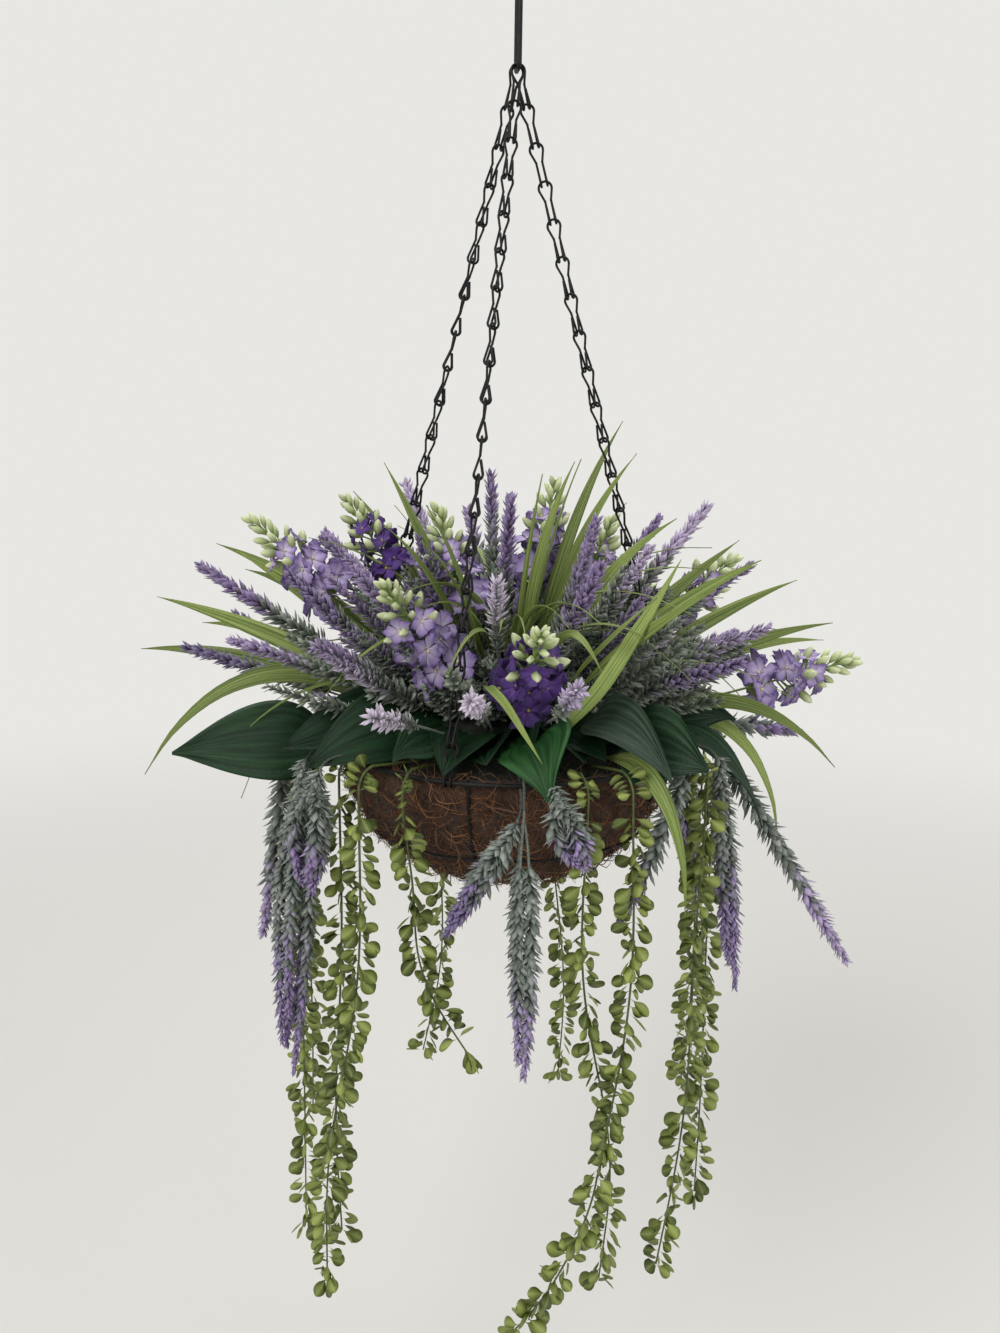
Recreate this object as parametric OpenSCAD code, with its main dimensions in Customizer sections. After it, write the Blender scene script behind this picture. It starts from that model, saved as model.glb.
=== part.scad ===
// Hanging basket of artificial lavender, delphinium, grass, hosta leaves and
// trailing vines. The origin is the saddle of the top hook, +Z is up, the front
// is -Y. Azimuth 0 points to the front and grows towards +X.

/* [Hanger] */
// Wire diameter of the top hook
hook_wire_d = 4; // [3:0.5:6]
// Inside radius of the hook bow, the room for the bracket arm
hook_bow_r = 11; // [9:0.5:14]
// Middle-line radius of the closed eye under the hook
eye_r = 8; // [7:0.5:10]
// Wire diameter of the long hanger loop
loop_wire_d = 3.2; // [2.5:0.1:3.6]
// Length of the hanger loop between the middles of its two bars
loop_len = 60; // [50:1:90]
// Straight length of each bar of the loop
loop_bar = 9; // [9:0.5:12]
// Turn of the loop's plane about the vertical
loop_yaw = 8; // [0:1:15]

/* [Chain] */
// Wire diameter of a chain link
link_wire_d = 1.7; // [1.4:0.1:1.9]
// Distance from one link to the next
link_pitch = 25.4; // [22:0.1:30]
// Links in each chain
link_count = 19; // [16:1:24]
// Middle-line radius of the arch at the top of a link
link_arch_r = 4.5; // [4.2:0.1:5]
// Middle-line radius of the hooks at the foot of a link
link_hook_r = 3; // [2.8:0.1:3.3]
// Half the distance between the two hooks of a link
link_waist = 2.1; // [1.9:0.1:2.3]

/* [Basket] */
// Diameter of the rim hoop to the middle of its wire
rim_d = 249; // [220:1:290]
// Depth of the wire basket below the rim
basket_depth = 97; // [85:1:120]
// Wire diameter of the rim hoop
rim_wire_d = 3.2; // [2.6:0.1:3.4]
// Wire diameter of the ribs
rib_wire_d = 2.2; // [1.6:0.1:3]
// Wire diameter of the belly and base hoops
hoop_wire_d = 2; // [1.6:0.1:2.6]
// Ribs round the basket
rib_count = 5; // [4:1:8]
// Thickness of the coir liner
liner_wall = 8; // [5:0.5:12]
// Height of the foam above the rim, at the middle
foam_crown = 38; // [25:1:45]

/* [Planting] */
// Diameter of a flower stem
stem_d = 2.4; // [1.8:0.1:2.8]
// Diameter of a lavender head
lavender_d = 20; // [16:1:22]
// Length of an upright lavender head
lavender_len = 70; // [60:1:75]
// Radius of the lowest delphinium florets
floret_r = 12.5; // [10:0.5:13]
// Width of a grass blade
blade_w = 9; // [6:0.5:10]
// Thickness of a leaf or a blade
leaf_t = 0.8; // [0.6:0.1:1.2]
// Length of a vine leaf
vine_leaf = 13; // [10:0.5:14]

/* [Hidden] */
$fn = 48;

// Clearances
seat_gap = 0.25;
weld_gap = 0.05;

// Hanger: the eye hangs below the bow, the loop hangs in the eye
bow_r = hook_bow_r + hook_wire_d / 2;
eye_bar = 4;
neck_angle = 54;
eye_top_z = -hook_bow_r - bow_r / sin(neck_angle);
eye_z = eye_top_z - 2 * eye_r;
loop_top_z = eye_z + hook_wire_d / 2 + loop_wire_d / 2 + seat_gap;
bar_z = loop_top_z - loop_len;
loop_bend_r = 3;
hook_tip_angle = 205;

// Chains: each runs from the loop's lower bar to the rim hoop
chain_azimuth = [-116, -18, 92];
chain_bar_step = 2.8;
chain_bar_place = [1, -1, 0];
chain_half_turns = [2, 1, -1];
rim_r = rim_d / 2;
chain_len = link_count * link_pitch;
hook_rise = link_arch_r - sqrt(pow(link_arch_r - link_wire_d - seat_gap, 2) - pow(link_waist, 2));
rim_seat = link_wire_d / 2 + rim_wire_d / 2 + seat_gap;
chain_reach = chain_len + hook_rise - rim_seat;
arch_seat = loop_wire_d / 2 + link_wire_d / 2 + seat_gap;
rim_z = bar_z - sqrt(pow(chain_reach - arch_seat, 2) - pow(rim_r, 2));

// Basket: the belly is an arc about a circle of this radius at rim height
rib_path_r = basket_depth - rib_wire_d / 2;
belly_r = rim_r - rim_wire_d / 2 - weld_gap - rib_wire_d / 2 - rib_path_r;
hoop_path_r = rib_path_r + rib_wire_d / 2 + weld_gap + hoop_wire_d / 2;
belly_angle = 37;
base_angle = 78;
rib_azimuth = -12;
liner_r = rib_path_r - rib_wire_d / 2 - seat_gap;
liner_lip = 0;
foam_r = liner_r - liner_wall - seat_gap;
foam_edge = belly_r + foam_r;
foam_shoulder = 2;
dome_r = (pow(foam_edge - foam_shoulder, 2) + pow(foam_crown, 2)) / (2 * foam_crown);

// Planting: every stem points away from one spot under the rim
root_down = 10;
root_z = rim_z - root_down;
socket_depth = 8;
socket_gap = 0.3;
low_lean = 82;
plan_rim_r = 124.5;

// Planting plan, each row is azimuth, lean from the vertical, reach
lavender_left_plan = [[-95, 60, 265], [-88, 72, 245], [-69, 65, 220], [-63, 50, 214],
                      [-102, 43, 210], [-75, 39, 186], [-106, 68, 240]];
lavender_front_plan = [[-47, 60, 196], [-26, 71, 197], [-8, 66, 184], [14, 64, 191], [-5, 36, 170]];
lavender_top_plan = [[-135, 31, 223], [-160, 12, 206], [1, 6, 188], [160, 34, 205], [63, 21, 187],
                     [180, 27, 205]];
lavender_right_plan = [[104, 40, 236], [58, 35, 193], [33, 36, 183], [83, 50, 223], [77, 61, 212],
                       [59, 64, 197]];
lavender_back_plan = [[-125, 50, 235], [-165, 38, 215], [-170, 66, 220], [-135, 70, 225], [150, 48, 225],
                      [128, 42, 225], [165, 70, 220], [122, 72, 235]];

// Trailing lavender, each row is azimuth, bend start, outward tilt, hanging length, head diameter
trail_left_plan = [[-74, 142, 8, 130, 20], [-57, 142, 4, 210, 34], [-46, 146, 8, 72, 20]];
trail_front_plan = [[-14, 132, 4, 78, 20], [4, 132, 2, 174, 30], [15, 140, 18, 40, 18]];
trail_right_plan = [[48, 142, 4, 96, 22], [66, 140, 6, 156, 26], [77, 138, 33, 176, 22],
                    [97, 140, 84, 80, 20]];
trail_back_plan = [[-110, 140, 6, 156, 24], [-140, 138, 6, 110, 22], [178, 138, 5, 186, 28],
                   [150, 138, 6, 118, 26], [118, 140, 6, 166, 30]];

// Delphiniums, each row is azimuth, lean, reach, size, dark florets
delphinium_left_plan = [[-84, 47, 257, 1, 0], [-96, 33, 227, 0.85, 1], [-70, 17, 195, 0.95, 0]];
delphinium_front_plan = [[-38, 44, 197, 1.1, 0], [8, 52, 192, 1.1, 1]];
delphinium_right_plan = [[150, 19, 215, 1, 0], [120, 28, 200, 0.95, 0], [110, 53, 240, 0.9, 0],
                         [86, 73, 268, 1, 0]];
delphinium_back_plan = [[-150, 52, 225, 1, 0], [172, 48, 225, 1, 1], [142, 62, 230, 1, 0]];

// Grass, each row is azimuth, lean at the root, lean at the tip, reach
grass_left_plan = [[-98, 72, 77, 293], [-88, 63, 66, 279], [-100, 64, 70, 254], [-80, 66, 92, 262],
                   [-101, 52, 57, 271], [-93, 52, 54, 247], [-108, 54, 60, 251]];
grass_top_plan = [[-127, 36, 40, 243], [-100, 22, 24, 231], [-51, 26, 32, 202], [90, 8, 12, 219],
                  [45, 14, 17, 227], [112, 16, 20, 259], [80, 17, 22, 238], [24, 12, 14, 213]];
grass_front_plan = [[-38, 22, 26, 207], [-28, 28, 36, 203], [30, 51, 52, 224], [42, 51, 53, 235],
                    [38, 80, 110, 199]];
grass_right_plan = [[100, 46, 48, 235], [72, 46, 50, 231], [65, 46, 50, 239], [99, 57, 60, 255],
                    [85, 62, 66, 255], [100, 66, 72, 260], [75, 70, 88, 237], [86, 76, 108, 215],
                    [78, 27, 34, 213]];
grass_back_plan = [[-130, 61, 68, 265], [-160, 58, 66, 255], [179, 59, 66, 260], [156, 59, 66, 260],
                   [128, 57, 63, 260], [-145, 38, 44, 240], [143, 35, 42, 240], [-124, 76, 98, 235]];

// Hosta leaves, each row is azimuth, lean at the root, lean at the tip, reach, width, fold, roll
hosta_plan = [[-66, 82, 85, 245, 58, 0.12, -60], [-30, 72, 80, 150, 36, 0.15, -40],
              [9, 72, 86, 168, 54, 0.18, 30], [36, 67, 84, 178, 42, 0.3, 38], [46, 77, 83, 182, 60, 0.12, 54],
              [71.5, 78, 101, 194, 30, 0.25, 15], [82, 71, 79, 170, 48, 0.15, 58], [-138, 77, 92, 222, 52, 0.15, 25],
              [-165, 77, 90, 202, 46, 0.18, -20], [160, 77, 91, 212, 50, 0.15, 20], [130, 77, 89, 202, 46, 0.18, -25]];

// Vines, each row is azimuth, bend start, hanging length, sideways drift, wave, leaves, outward drift
vine_plan = [[-84, 138, 390, 4, 5, 26, 0], [-36, 146, 372, -42, 12, 26, 0], [-28, 128, 170, 46, 10, 13, 0],
             [-52, 128, 348, -8, 8, 24, 0], [21, 129, 352, 28, -14, 25, 0], [32, 137, 400, -52, 14, 27, 22],
             [57, 146, 342, -42, -12, 24, 0], [88, 140, 366, -10, 8, 25, 0], [-160, 140, 330, 14, 8, 22, 0],
             [164, 140, 356, -16, 8, 24, 0], [101, 140, 300, 12, 6, 20, 0], [-97, 140, 320, -12, 6, 22, 0]];
vine_bend_r = 14;
trail_bend_r = 20;
vine_d = 2;

// Directions and places
function aim(az, lean) = [sin(az) * sin(lean), -cos(az) * sin(lean), cos(lean)];
function across(az) = [cos(az), sin(az), 0];
function from_root(az, lean, dist) = [0, 0, root_z] + dist * aim(az, lean);
function unit(v) = v / norm(v);
function flat(rows) = [for (row = rows) each row];
function running(counts) = [for (i = 0, sum = 0; i < len(counts); sum = sum + counts[i], i = i + 1) sum];

// Faces of one tube of rings, each ring of m points, the first point numbered start
function tube_faces(rings, m, start) = concat(
    flat([for (i = [0 : rings - 2], j = [0 : m - 1])
        let (a = start + i * m + j, b = start + i * m + (j + 1) % m)
        [[a, b + m, b], [a, a + m, b + m]]]),
    [for (j = [1 : m - 2]) [start, start + j, start + j + 1]],
    [for (j = [1 : m - 2]) let (z = start + (rings - 1) * m) [z, z + j + 1, z + j]]);

module skins(tubes, m) {
    starts = running([for (t = tubes) len(t) * m]);
    polyhedron(points = flat([for (t = tubes) flat(t)]),
               faces = flat([for (k = [0 : len(tubes) - 1]) tube_faces(len(tubes[k]), m, starts[k])]));
}

module point_out(az, lean) {
    translate([0, 0, root_z])
        rotate([0, lean, az - 90])
            children();
}

// A round rod between two points
module rod(a, b, d) {
    v = b - a;
    translate(a)
        rotate([0, acos(v.z / norm(v)), atan2(v.y, v.x)])
            cylinder(d = d, h = norm(v));
}

// A bent wire in the XZ plane, turning from one angle to another about the origin
module bend(r, d, from, to) {
    rotate([90, 0, 0])
        rotate([0, 0, from])
            rotate_extrude(angle = to - from)
                translate([r, 0])
                    circle(d = d);
}

module hanger_hook() {
    neck_top = [bow_r * cos(neck_angle), 0, -hook_bow_r - bow_r * sin(neck_angle)];
    tip = [bow_r * cos(hook_tip_angle), 0, -hook_bow_r + bow_r * sin(hook_tip_angle)];
    lap = 0.6;
    color("#1c1c1e") {
        translate([0, 0, -hook_bow_r])
            bend(bow_r, hook_wire_d, -neck_angle, hook_tip_angle);
        translate(tip)
            sphere(d = hook_wire_d * 1.15);
        rod(neck_top + lap * [sin(neck_angle), 0, cos(neck_angle)], [0, 0, eye_top_z], 0.94 * hook_wire_d);
        for (side = [-1, 1]) {
            translate([side * eye_bar / 2, 0, eye_z + eye_r])
                bend(eye_r, hook_wire_d, -side * 90, -side * 90 + 180);
            rod([-eye_bar / 2, 0, eye_z + eye_r * (1 + side)], [eye_bar / 2, 0, eye_z + eye_r * (1 + side)],
                hook_wire_d);
        }
    }
}

module hanger_loop() {
    leg_x = loop_bar / 2 + loop_bend_r;
    color("#1c1c1e")
        rotate([0, 0, 90 + loop_yaw])
            for (side = [-1, 1]) {
                rod([side * leg_x, 0, bar_z + loop_bend_r], [side * leg_x, 0, loop_top_z - loop_bend_r],
                    loop_wire_d);
                translate([side * loop_bar / 2, 0, loop_top_z - loop_bend_r])
                    bend(loop_bend_r, loop_wire_d, 45 - side * 45, 135 - side * 45);
                translate([side * loop_bar / 2, 0, bar_z + loop_bend_r])
                    bend(loop_bend_r, loop_wire_d, 225 + side * 45, 315 + side * 45);
                rod([-loop_bar / 2, 0, side > 0 ? loop_top_z : bar_z],
                    [loop_bar / 2, 0, side > 0 ? loop_top_z : bar_z], loop_wire_d);
            }
}

// One wire link: an arch on top, two legs that close to a waist, and two hooks
// that turn back up, so that the arch of the next link hangs in both hooks.
module link() {
    apex = -link_pitch / 2;
    arch_z = -link_arch_r;
    foot_z = -link_pitch - hook_rise + link_hook_r;
    leg_far = norm([link_waist, arch_z - apex]);
    leg_turn = atan2(arch_z - apex, link_waist) - acos(link_arch_r / leg_far);
    hook_far = apex - foot_z;
    hook_turn = asin(link_hook_r / hook_far);
    free_end = 0.75;
    side_y = link_hook_r * cos(hook_turn);
    side_z = foot_z + link_hook_r * sin(hook_turn);
    leg_d = 0.94 * link_wire_d;
    lap = 0.4;
    translate([0, 0, arch_z])
        bend(link_arch_r, link_wire_d, -leg_turn, 180 + leg_turn);
    for (side = [-1, 1]) {
        x = side * link_waist;
        rod([x, 0, apex],
            [side * (link_arch_r * cos(leg_turn) + lap * sin(leg_turn)), 0,
             arch_z - link_arch_r * sin(leg_turn) + lap * cos(leg_turn)], leg_d);
        translate([x, 0, apex])
            sphere(d = link_wire_d * 1.08);
        rod([x, side_y + lap * sin(hook_turn), side_z - lap * cos(hook_turn)], [x, 0, apex], leg_d);
        translate([x, 0, foot_z])
            rotate([0, 0, 90])
                bend(link_hook_r, link_wire_d, 180 - hook_turn, 360 + hook_turn);
        rod([x, -side_y - lap * sin(hook_turn), side_z - lap * cos(hook_turn)],
            [x, -side_y * (1 - free_end), side_z + (apex - side_z) * free_end], leg_d);
    }
}

module chain(k) {
    az = chain_azimuth[k];
    bar_way = [-sin(loop_yaw), cos(loop_yaw), 0];
    bar_point = chain_bar_place[k] * chain_bar_step * bar_way + [0, 0, bar_z];
    rim_point = [rim_r * sin(az), -rim_r * cos(az), rim_z];
    way = unit(rim_point - bar_point);
    spare = chain_reach - arch_seat - norm(rim_point - bar_point);
    top = bar_point - (arch_seat + spare / 2) * way;
    twist = (az - loop_yaw + 180 * chain_half_turns[k]) / (link_count - 1);
    color("#1f1f21")
        for (i = [0 : link_count - 1]) {
            place = top + i * link_pitch * way;
            face = [cos(loop_yaw + i * twist), sin(loop_yaw + i * twist), 0];
            x = unit(face - (face * way) * way);
            y = cross(-way, x);
            multmatrix([[x.x, y.x, -way.x, place.x], [x.y, y.y, -way.y, place.y],
                        [x.z, y.z, -way.z, place.z], [0, 0, 0, 1]])
                link();
        }
}

module chain_left() { chain(0); }
module chain_front() { chain(1); }
module chain_right() { chain(2); }

module hoop(r, z, d) {
    color("#1c1c1e")
        translate([0, 0, z])
            rotate_extrude()
                translate([r, 0])
                    circle(d = d);
}

module rim_hoop() { hoop(rim_r, rim_z, rim_wire_d); }
module belly_hoop() {
    hoop(belly_r + hoop_path_r * cos(belly_angle), rim_z - hoop_path_r * sin(belly_angle), hoop_wire_d);
}
module base_hoop() {
    hoop(belly_r + hoop_path_r * cos(base_angle), rim_z - hoop_path_r * sin(base_angle), hoop_wire_d);
}

module frame_ribs() {
    color("#1c1c1e")
        for (i = [0 : rib_count - 1])
            rotate([0, 0, rib_azimuth - 90 + i * 360 / rib_count])
                translate([belly_r, 0, rim_z])
                    bend(rib_path_r, rib_wire_d, -base_angle - 1.5, 1);
}

// Half section of a bowl whose belly has this radius, with a straight lip on top
module bowl_section(r, lip) {
    intersection() {
        translate([belly_r, 0])
            circle(r);
        translate([belly_r, -r])
            square([r, r]);
    }
    translate([0, -r])
        square([belly_r, r + lip]);
    if (lip > 0)
        translate([belly_r, 0])
            square([r, lip]);
}

module coir_liner() {
    color("#6a4026")
        translate([0, 0, rim_z])
            rotate_extrude()
                difference() {
                    bowl_section(liner_r, liner_lip);
                    bowl_section(liner_r - liner_wall, liner_lip + 1);
                }
}

// The plan was drawn for one rim, and what lies over the rim moves out and in with it
function grown(reach) = reach + rim_r - plan_rim_r;

// A stem starts this far from the root spot, its foot a little below the foam's dome
function start_of(lean) = let (drop = dome_r - foam_crown - root_down)
    sqrt(pow(dome_r, 2) - pow(drop * sin(lean), 2)) - drop * cos(lean) - socket_depth;

stems = [for (rows = [lavender_left_plan, lavender_front_plan, lavender_top_plan, lavender_right_plan,
                      lavender_back_plan, delphinium_left_plan, delphinium_front_plan,
                      delphinium_right_plan, delphinium_back_plan, grass_left_plan, grass_top_plan,
                      grass_front_plan, grass_right_plan, grass_back_plan, hosta_plan],
              row = rows) [row[0], row[1]]];
low_stems = [for (rows = [trail_left_plan, trail_front_plan, trail_right_plan, trail_back_plan, vine_plan],
                  row = rows) [row[0], low_lean]];

module floral_foam() {
    color("#3f5a3a")
        difference() {
            translate([0, 0, rim_z])
                rotate([0, 0, chain_azimuth[0] - 90])
                    rotate_extrude() {
                        bowl_section(foam_r, 0);
                        intersection() {
                            translate([0, foam_crown - dome_r])
                                circle(dome_r);
                            translate([0, -foam_shoulder / 2])
                                square([foam_edge, foam_crown + foam_shoulder]);
                        }
                    }
            for (s = concat(stems, low_stems))
                point_out(s[0], s[1])
                    translate([0, 0, start_of(s[1]) - socket_gap])
                        cylinder(d = stem_d + 2 * socket_gap, h = foam_edge);
        }
}

// Outline of a stem with a whorled flower head, turned about the stem
function head_r(d, u) = d / 2 * (0.4 + 0.6 * sin(180 * pow(u, 0.7)));
function spike_outline(start, tip, head_len, d) =
    let (n = round(head_len / 12), step = head_len / n, foot = tip - head_len)
    concat([[0, start], [stem_d / 2, start], [stem_d / 2, foot]],
           flat([for (i = [0 : n - 1])
               let (r = head_r(d, (i + 0.6) / n))
               [[0.6 * r, foot + i * step], [r, foot + (i + 0.7) * step]]]),
           [[0, tip]]);

module lavender(rows) {
    color("#8a78a8")
        for (row = rows)
            point_out(row[0], row[1])
                rotate_extrude()
                    polygon(spike_outline(start_of(row[1]), row[2], lavender_len, lavender_d));
}

module lavender_left() { lavender(lavender_left_plan); }
module lavender_front() { lavender(lavender_front_plan); }
module lavender_top() { lavender(lavender_top_plan); }
module lavender_right() { lavender(lavender_right_plan); }
module lavender_back() { lavender(lavender_back_plan); }

// A lavender stem that bends over the rim and hangs down outside the basket
module trail(az, bend_start, tilt, length, head_d) {
    rise = 90 - low_lean;
    run = bend_start / sin(low_lean);
    turn = rise + 90 - tilt;
    middle = [bend_start + trail_bend_r * sin(rise), 0, run * cos(low_lean) - trail_bend_r * cos(rise)];
    end_angle = 90 + rise - turn;
    neck = 8;
    lap = 0.6;
    pick = [sin(low_lean), 0, cos(low_lean)];
    rotate([0, 0, az - 90])
        translate([0, 0, root_z]) {
            rod(start_of(low_lean) * pick, (run + lap) * pick, stem_d);
            translate(middle) {
                bend(trail_bend_r, 1.08 * stem_d, end_angle, 90 + rise);
                translate(trail_bend_r * [cos(end_angle), 0, sin(end_angle)])
                    rotate([0, 180 - tilt, 0])
                        rotate_extrude()
                            polygon(spike_outline(-lap, length, length - neck, head_d));
            }
        }
}

module trails(rows) {
    color("#80847c")
        for (row = rows)
            trail(row[0], grown(row[1]), row[2], row[3], row[4]);
}

module lavender_trail_left() { trails(trail_left_plan); }
module lavender_trail_front() { trails(trail_front_plan); }
module lavender_trail_right() { trails(trail_right_plan); }
module lavender_trail_back() { trails(trail_back_plan); }

// Delphinium: tiers of florets on short stalks below a spire of buds
tier_down = [84, 61, 42];
tier_size = [1, 0.86, 0.7];
tier_florets = 4;
stalk_rise = 25;
stalk_d = 1.4;
bud_count = 6;
bud_step = 4.4;
function floret_size(row, tier) = floret_r * tier_size[tier] * row[3];
function stalk_len(row, tier) = 1.3 * floret_size(row, tier);

module at_floret(row, tier) {
    point_out(row[0], row[1])
        translate([0, 0, row[2] - tier_down[tier] * row[3]])
            for (i = [0 : tier_florets - 1])
                rotate([0, 90 - stalk_rise, (i + tier / 2) * 360 / tier_florets])
                    children();
}

module delphinium(rows) {
    color("#a9bd6b")
        for (row = rows) {
            point_out(row[0], row[1]) {
                translate([0, 0, start_of(row[1])])
                    cylinder(d = stem_d, h = row[2] - start_of(row[1]) - 2);
                for (i = [0 : bud_count - 1])
                    rotate([0, 0, i * 137.5])
                        translate([stem_d / 2 + 2.2 - 0.25 * i, 0, row[2] - 4 - (bud_count - 1 - i) * bud_step])
                            sphere(r = 3.2 - 0.22 * i);
            }
            for (tier = [0 : len(tier_down) - 1])
                at_floret(row, tier)
                    cylinder(d = stalk_d, h = stalk_len(row, tier));
        }
}

module delphinium_left() { delphinium(delphinium_left_plan); }
module delphinium_front() { delphinium(delphinium_front_plan); }
module delphinium_right() { delphinium(delphinium_right_plan); }
module delphinium_back() { delphinium(delphinium_back_plan); }

// Florets with five rounded petals, each on the end of its stalk
module florets(dark) {
    petals = 5;
    for (rows = [delphinium_left_plan, delphinium_front_plan, delphinium_right_plan, delphinium_back_plan],
         row = rows)
        if (row[4] == dark)
            for (tier = [0 : len(tier_down) - 1])
                at_floret(row, tier)
                    translate([0, 0, stalk_len(row, tier) + seat_gap])
                        linear_extrude(leaf_t)
                            polygon([for (i = [0 : 4 * petals - 1])
                                let (a = i * 90 / petals, r = floret_size(row, tier) * (0.8 + 0.2 * cos(petals * a)))
                                r * [cos(a), sin(a)]]);
}

module florets_pale() { color("#a893cc") florets(0); }
module florets_dark() { color("#55308c") florets(1); }

// Blades and leaves: rings along a stem that leaves the foam straight and then bows
free_from = 0.3;
function bow(t) = pow(max(0, (t - free_from) / (1 - free_from)), 2);
function lean_at(row, t) = row[1] + (row[2] - row[1]) * bow(t);
function dist_at(row, t) = start_of(row[1]) + (row[3] - start_of(row[1])) * t;

blade_at = [0, 0.15, 0.3, 0.42, 0.54, 0.66, 0.78, 0.9, 1];
blade_foot = 1.9;
blade_fold = 0.3;
function blade_width(t) = (blade_foot + (blade_w - blade_foot) * sin(180 * pow(max(0, t - 0.15) / 0.85, 0.8)))
                        * (1 - 0.7 * pow(t, 6));
function blade_rings(row) = [for (t = blade_at)
    let (p = from_root(row[0], lean_at(row, t), dist_at(row, t)), up = aim(row[0], lean_at(row, t) - 90),
         side = blade_width(t) / 2 * across(row[0]), lift = blade_width(t) / 2 * blade_fold * up)
    [p - leaf_t / 2 * up, p + side + lift, p + leaf_t / 2 * up, p - side + lift]];

module grass(rows) {
    color("#86a040")
        skins([for (row = rows) blade_rings(row)], 4);
}

module grass_left() { grass(grass_left_plan); }
module grass_top() { grass(grass_top_plan); }
module grass_front() { grass(grass_front_plan); }
module grass_right() { grass(grass_right_plan); }
module grass_back() { grass(grass_back_plan); }

hosta_at = [0, 0.12, 0.26, 0.36, 0.46, 0.56, 0.66, 0.76, 0.86, 0.94, 1];
hosta_foot = 2;
hosta_dish = 0.35;
function hosta_width(row, t) = hosta_foot + (row[4] - hosta_foot)
                             * sin(180 * pow(max(0, t - 0.24) / 0.76, 0.72)) * (1 - 0.3 * pow(t, 8));
function leaf_dist(row, t) = start_of(row[1]) + (grown(row[3]) - start_of(row[1])) * t;
function roll_at(row, t) = row[6] * min(1, max(0, t - 0.1) / 0.3);
function hosta_rings(row) = [for (t = hosta_at)
    let (p = from_root(row[0], lean_at(row, t), leaf_dist(row, t)), roll = roll_at(row, t),
         level = aim(row[0], lean_at(row, t) - 90), up = cos(roll) * level - sin(roll) * across(row[0]),
         side = hosta_width(row, t) / 4 * (cos(roll) * across(row[0]) + sin(roll) * level),
         lift = hosta_width(row, t) / 2 * row[5] * up, thick = leaf_t * up, dish = hosta_dish * lift)
    [p, p + side + dish, p + 2 * side + lift, p + side + dish + thick,
     p + thick, p - side + dish + thick, p - 2 * side + lift, p - side + dish]];

module hosta(k, shade) {
    color(shade)
        skins([hosta_rings(hosta_plan[k])], 8);
}

module hosta_left() { hosta(0, "#24402b"); }
module hosta_small() { hosta(1, "#24402b"); }
module hosta_center() { hosta(2, "#2f6a2f"); }
module hosta_folded() { hosta(3, "#3d5c40"); }
module hosta_broad() { hosta(4, "#24402b"); }
module hosta_drooping() { hosta(5, "#24402b"); }
module hosta_side() { hosta(6, "#24402b"); }
module hosta_back_1() { hosta(7, "#24402b"); }
module hosta_back_2() { hosta(8, "#24402b"); }
module hosta_back_3() { hosta(9, "#24402b"); }
module hosta_back_4() { hosta(10, "#24402b"); }

// Vines: a thin stem that bends over the rim and hangs, with round leaves on it
vine_bends = 5;
vine_steps = 15;
vine_sides = 5;
vine_rise = 90 - low_lean;
function vine_spot(az, r, z, aside) = [0, 0, root_z] + r * aim(az, 90) + [0, 0, z] + aside * across(az);
function vine_middle(row) = [grown(row[1]) + vine_bend_r * sin(vine_rise),
                             grown(row[1]) / tan(low_lean) - vine_bend_r * cos(vine_rise)];
function vine_hang(row, t) = let (m = vine_middle(row))
    vine_spot(row[0], m[0] + vine_bend_r + row[6] * t, m[1] - row[2] * t, row[3] * t * t + row[4] * t * sin(400 * t));
function vine_path(row) = let (m = vine_middle(row)) concat(
    [for (d = [start_of(low_lean), (start_of(low_lean) + grown(row[1])) / 2])
        vine_spot(row[0], d * sin(low_lean), d * cos(low_lean), 0)],
    [for (i = [0 : vine_bends - 1])
        let (a = (90 + vine_rise) * (1 - i / vine_bends))
        vine_spot(row[0], m[0] + vine_bend_r * cos(a), m[1] + vine_bend_r * sin(a), 0)],
    [for (i = [0 : vine_steps]) vine_hang(row, i / vine_steps)]);
function vine_rings(row) = let (path = vine_path(row), last = len(path) - 1) [for (i = [0 : last])
    let (way = unit(path[min(i + 1, last)] - path[max(i - 1, 0)]),
         side = unit(across(row[0]) - (across(row[0]) * way) * way), up = cross(way, side))
    [for (j = [0 : vine_sides - 1])
        let (a = j * 360 / vine_sides)
        path[i] + vine_d / 2 * (cos(a) * side + sin(a) * up)]];

// A vine leaf is a thin lens on a six-point outline, its foot at the stem
function leaf_lens(p, turn) =
    let (way = unit([cos(turn), sin(turn), -0.45]), side = [-sin(turn), cos(turn), 0],
         foot = p + (vine_d / 2 + seat_gap) * [cos(turn), sin(turn), 0], puff = leaf_t * cross(way, side),
         l = vine_leaf * way, w = vine_leaf * side)
    [foot, foot + 0.35 * l + 0.33 * w, foot + 0.75 * l + 0.34 * w, foot + l,
     foot + 0.75 * l - 0.34 * w, foot + 0.35 * l - 0.33 * w, foot + 0.55 * l + puff, foot + 0.55 * l - puff];
function lens_faces(start) = flat([for (j = [0 : 5])
    let (a = start + j, b = start + (j + 1) % 6)
    [[start + 6, a, b], [start + 7, b, a]]]);

module vine(k) {
    row = vine_plan[k];
    rings = vine_rings(row);
    stem_points = len(rings) * vine_sides;
    leaves = [for (i = [1 : row[5]]) leaf_lens(vine_hang(row, i / (row[5] + 0.5)), i * 137.5 + row[0])];
    color("#7d8f3a")
        polyhedron(points = concat(flat(rings), flat(leaves)),
                   faces = concat(tube_faces(len(rings), vine_sides, 0),
                                  flat([for (i = [0 : row[5] - 1]) lens_faces(stem_points + 8 * i)])));
}

module vine_1() { vine(0); }
module vine_2() { vine(1); }
module vine_3() { vine(2); }
module vine_4() { vine(3); }
module vine_5() { vine(4); }
module vine_6() { vine(5); }
module vine_7() { vine(6); }
module vine_8() { vine(7); }
module vine_9() { vine(8); }
module vine_10() { vine(9); }
module vine_11() { vine(10); }
module vine_12() { vine(11); }

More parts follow.
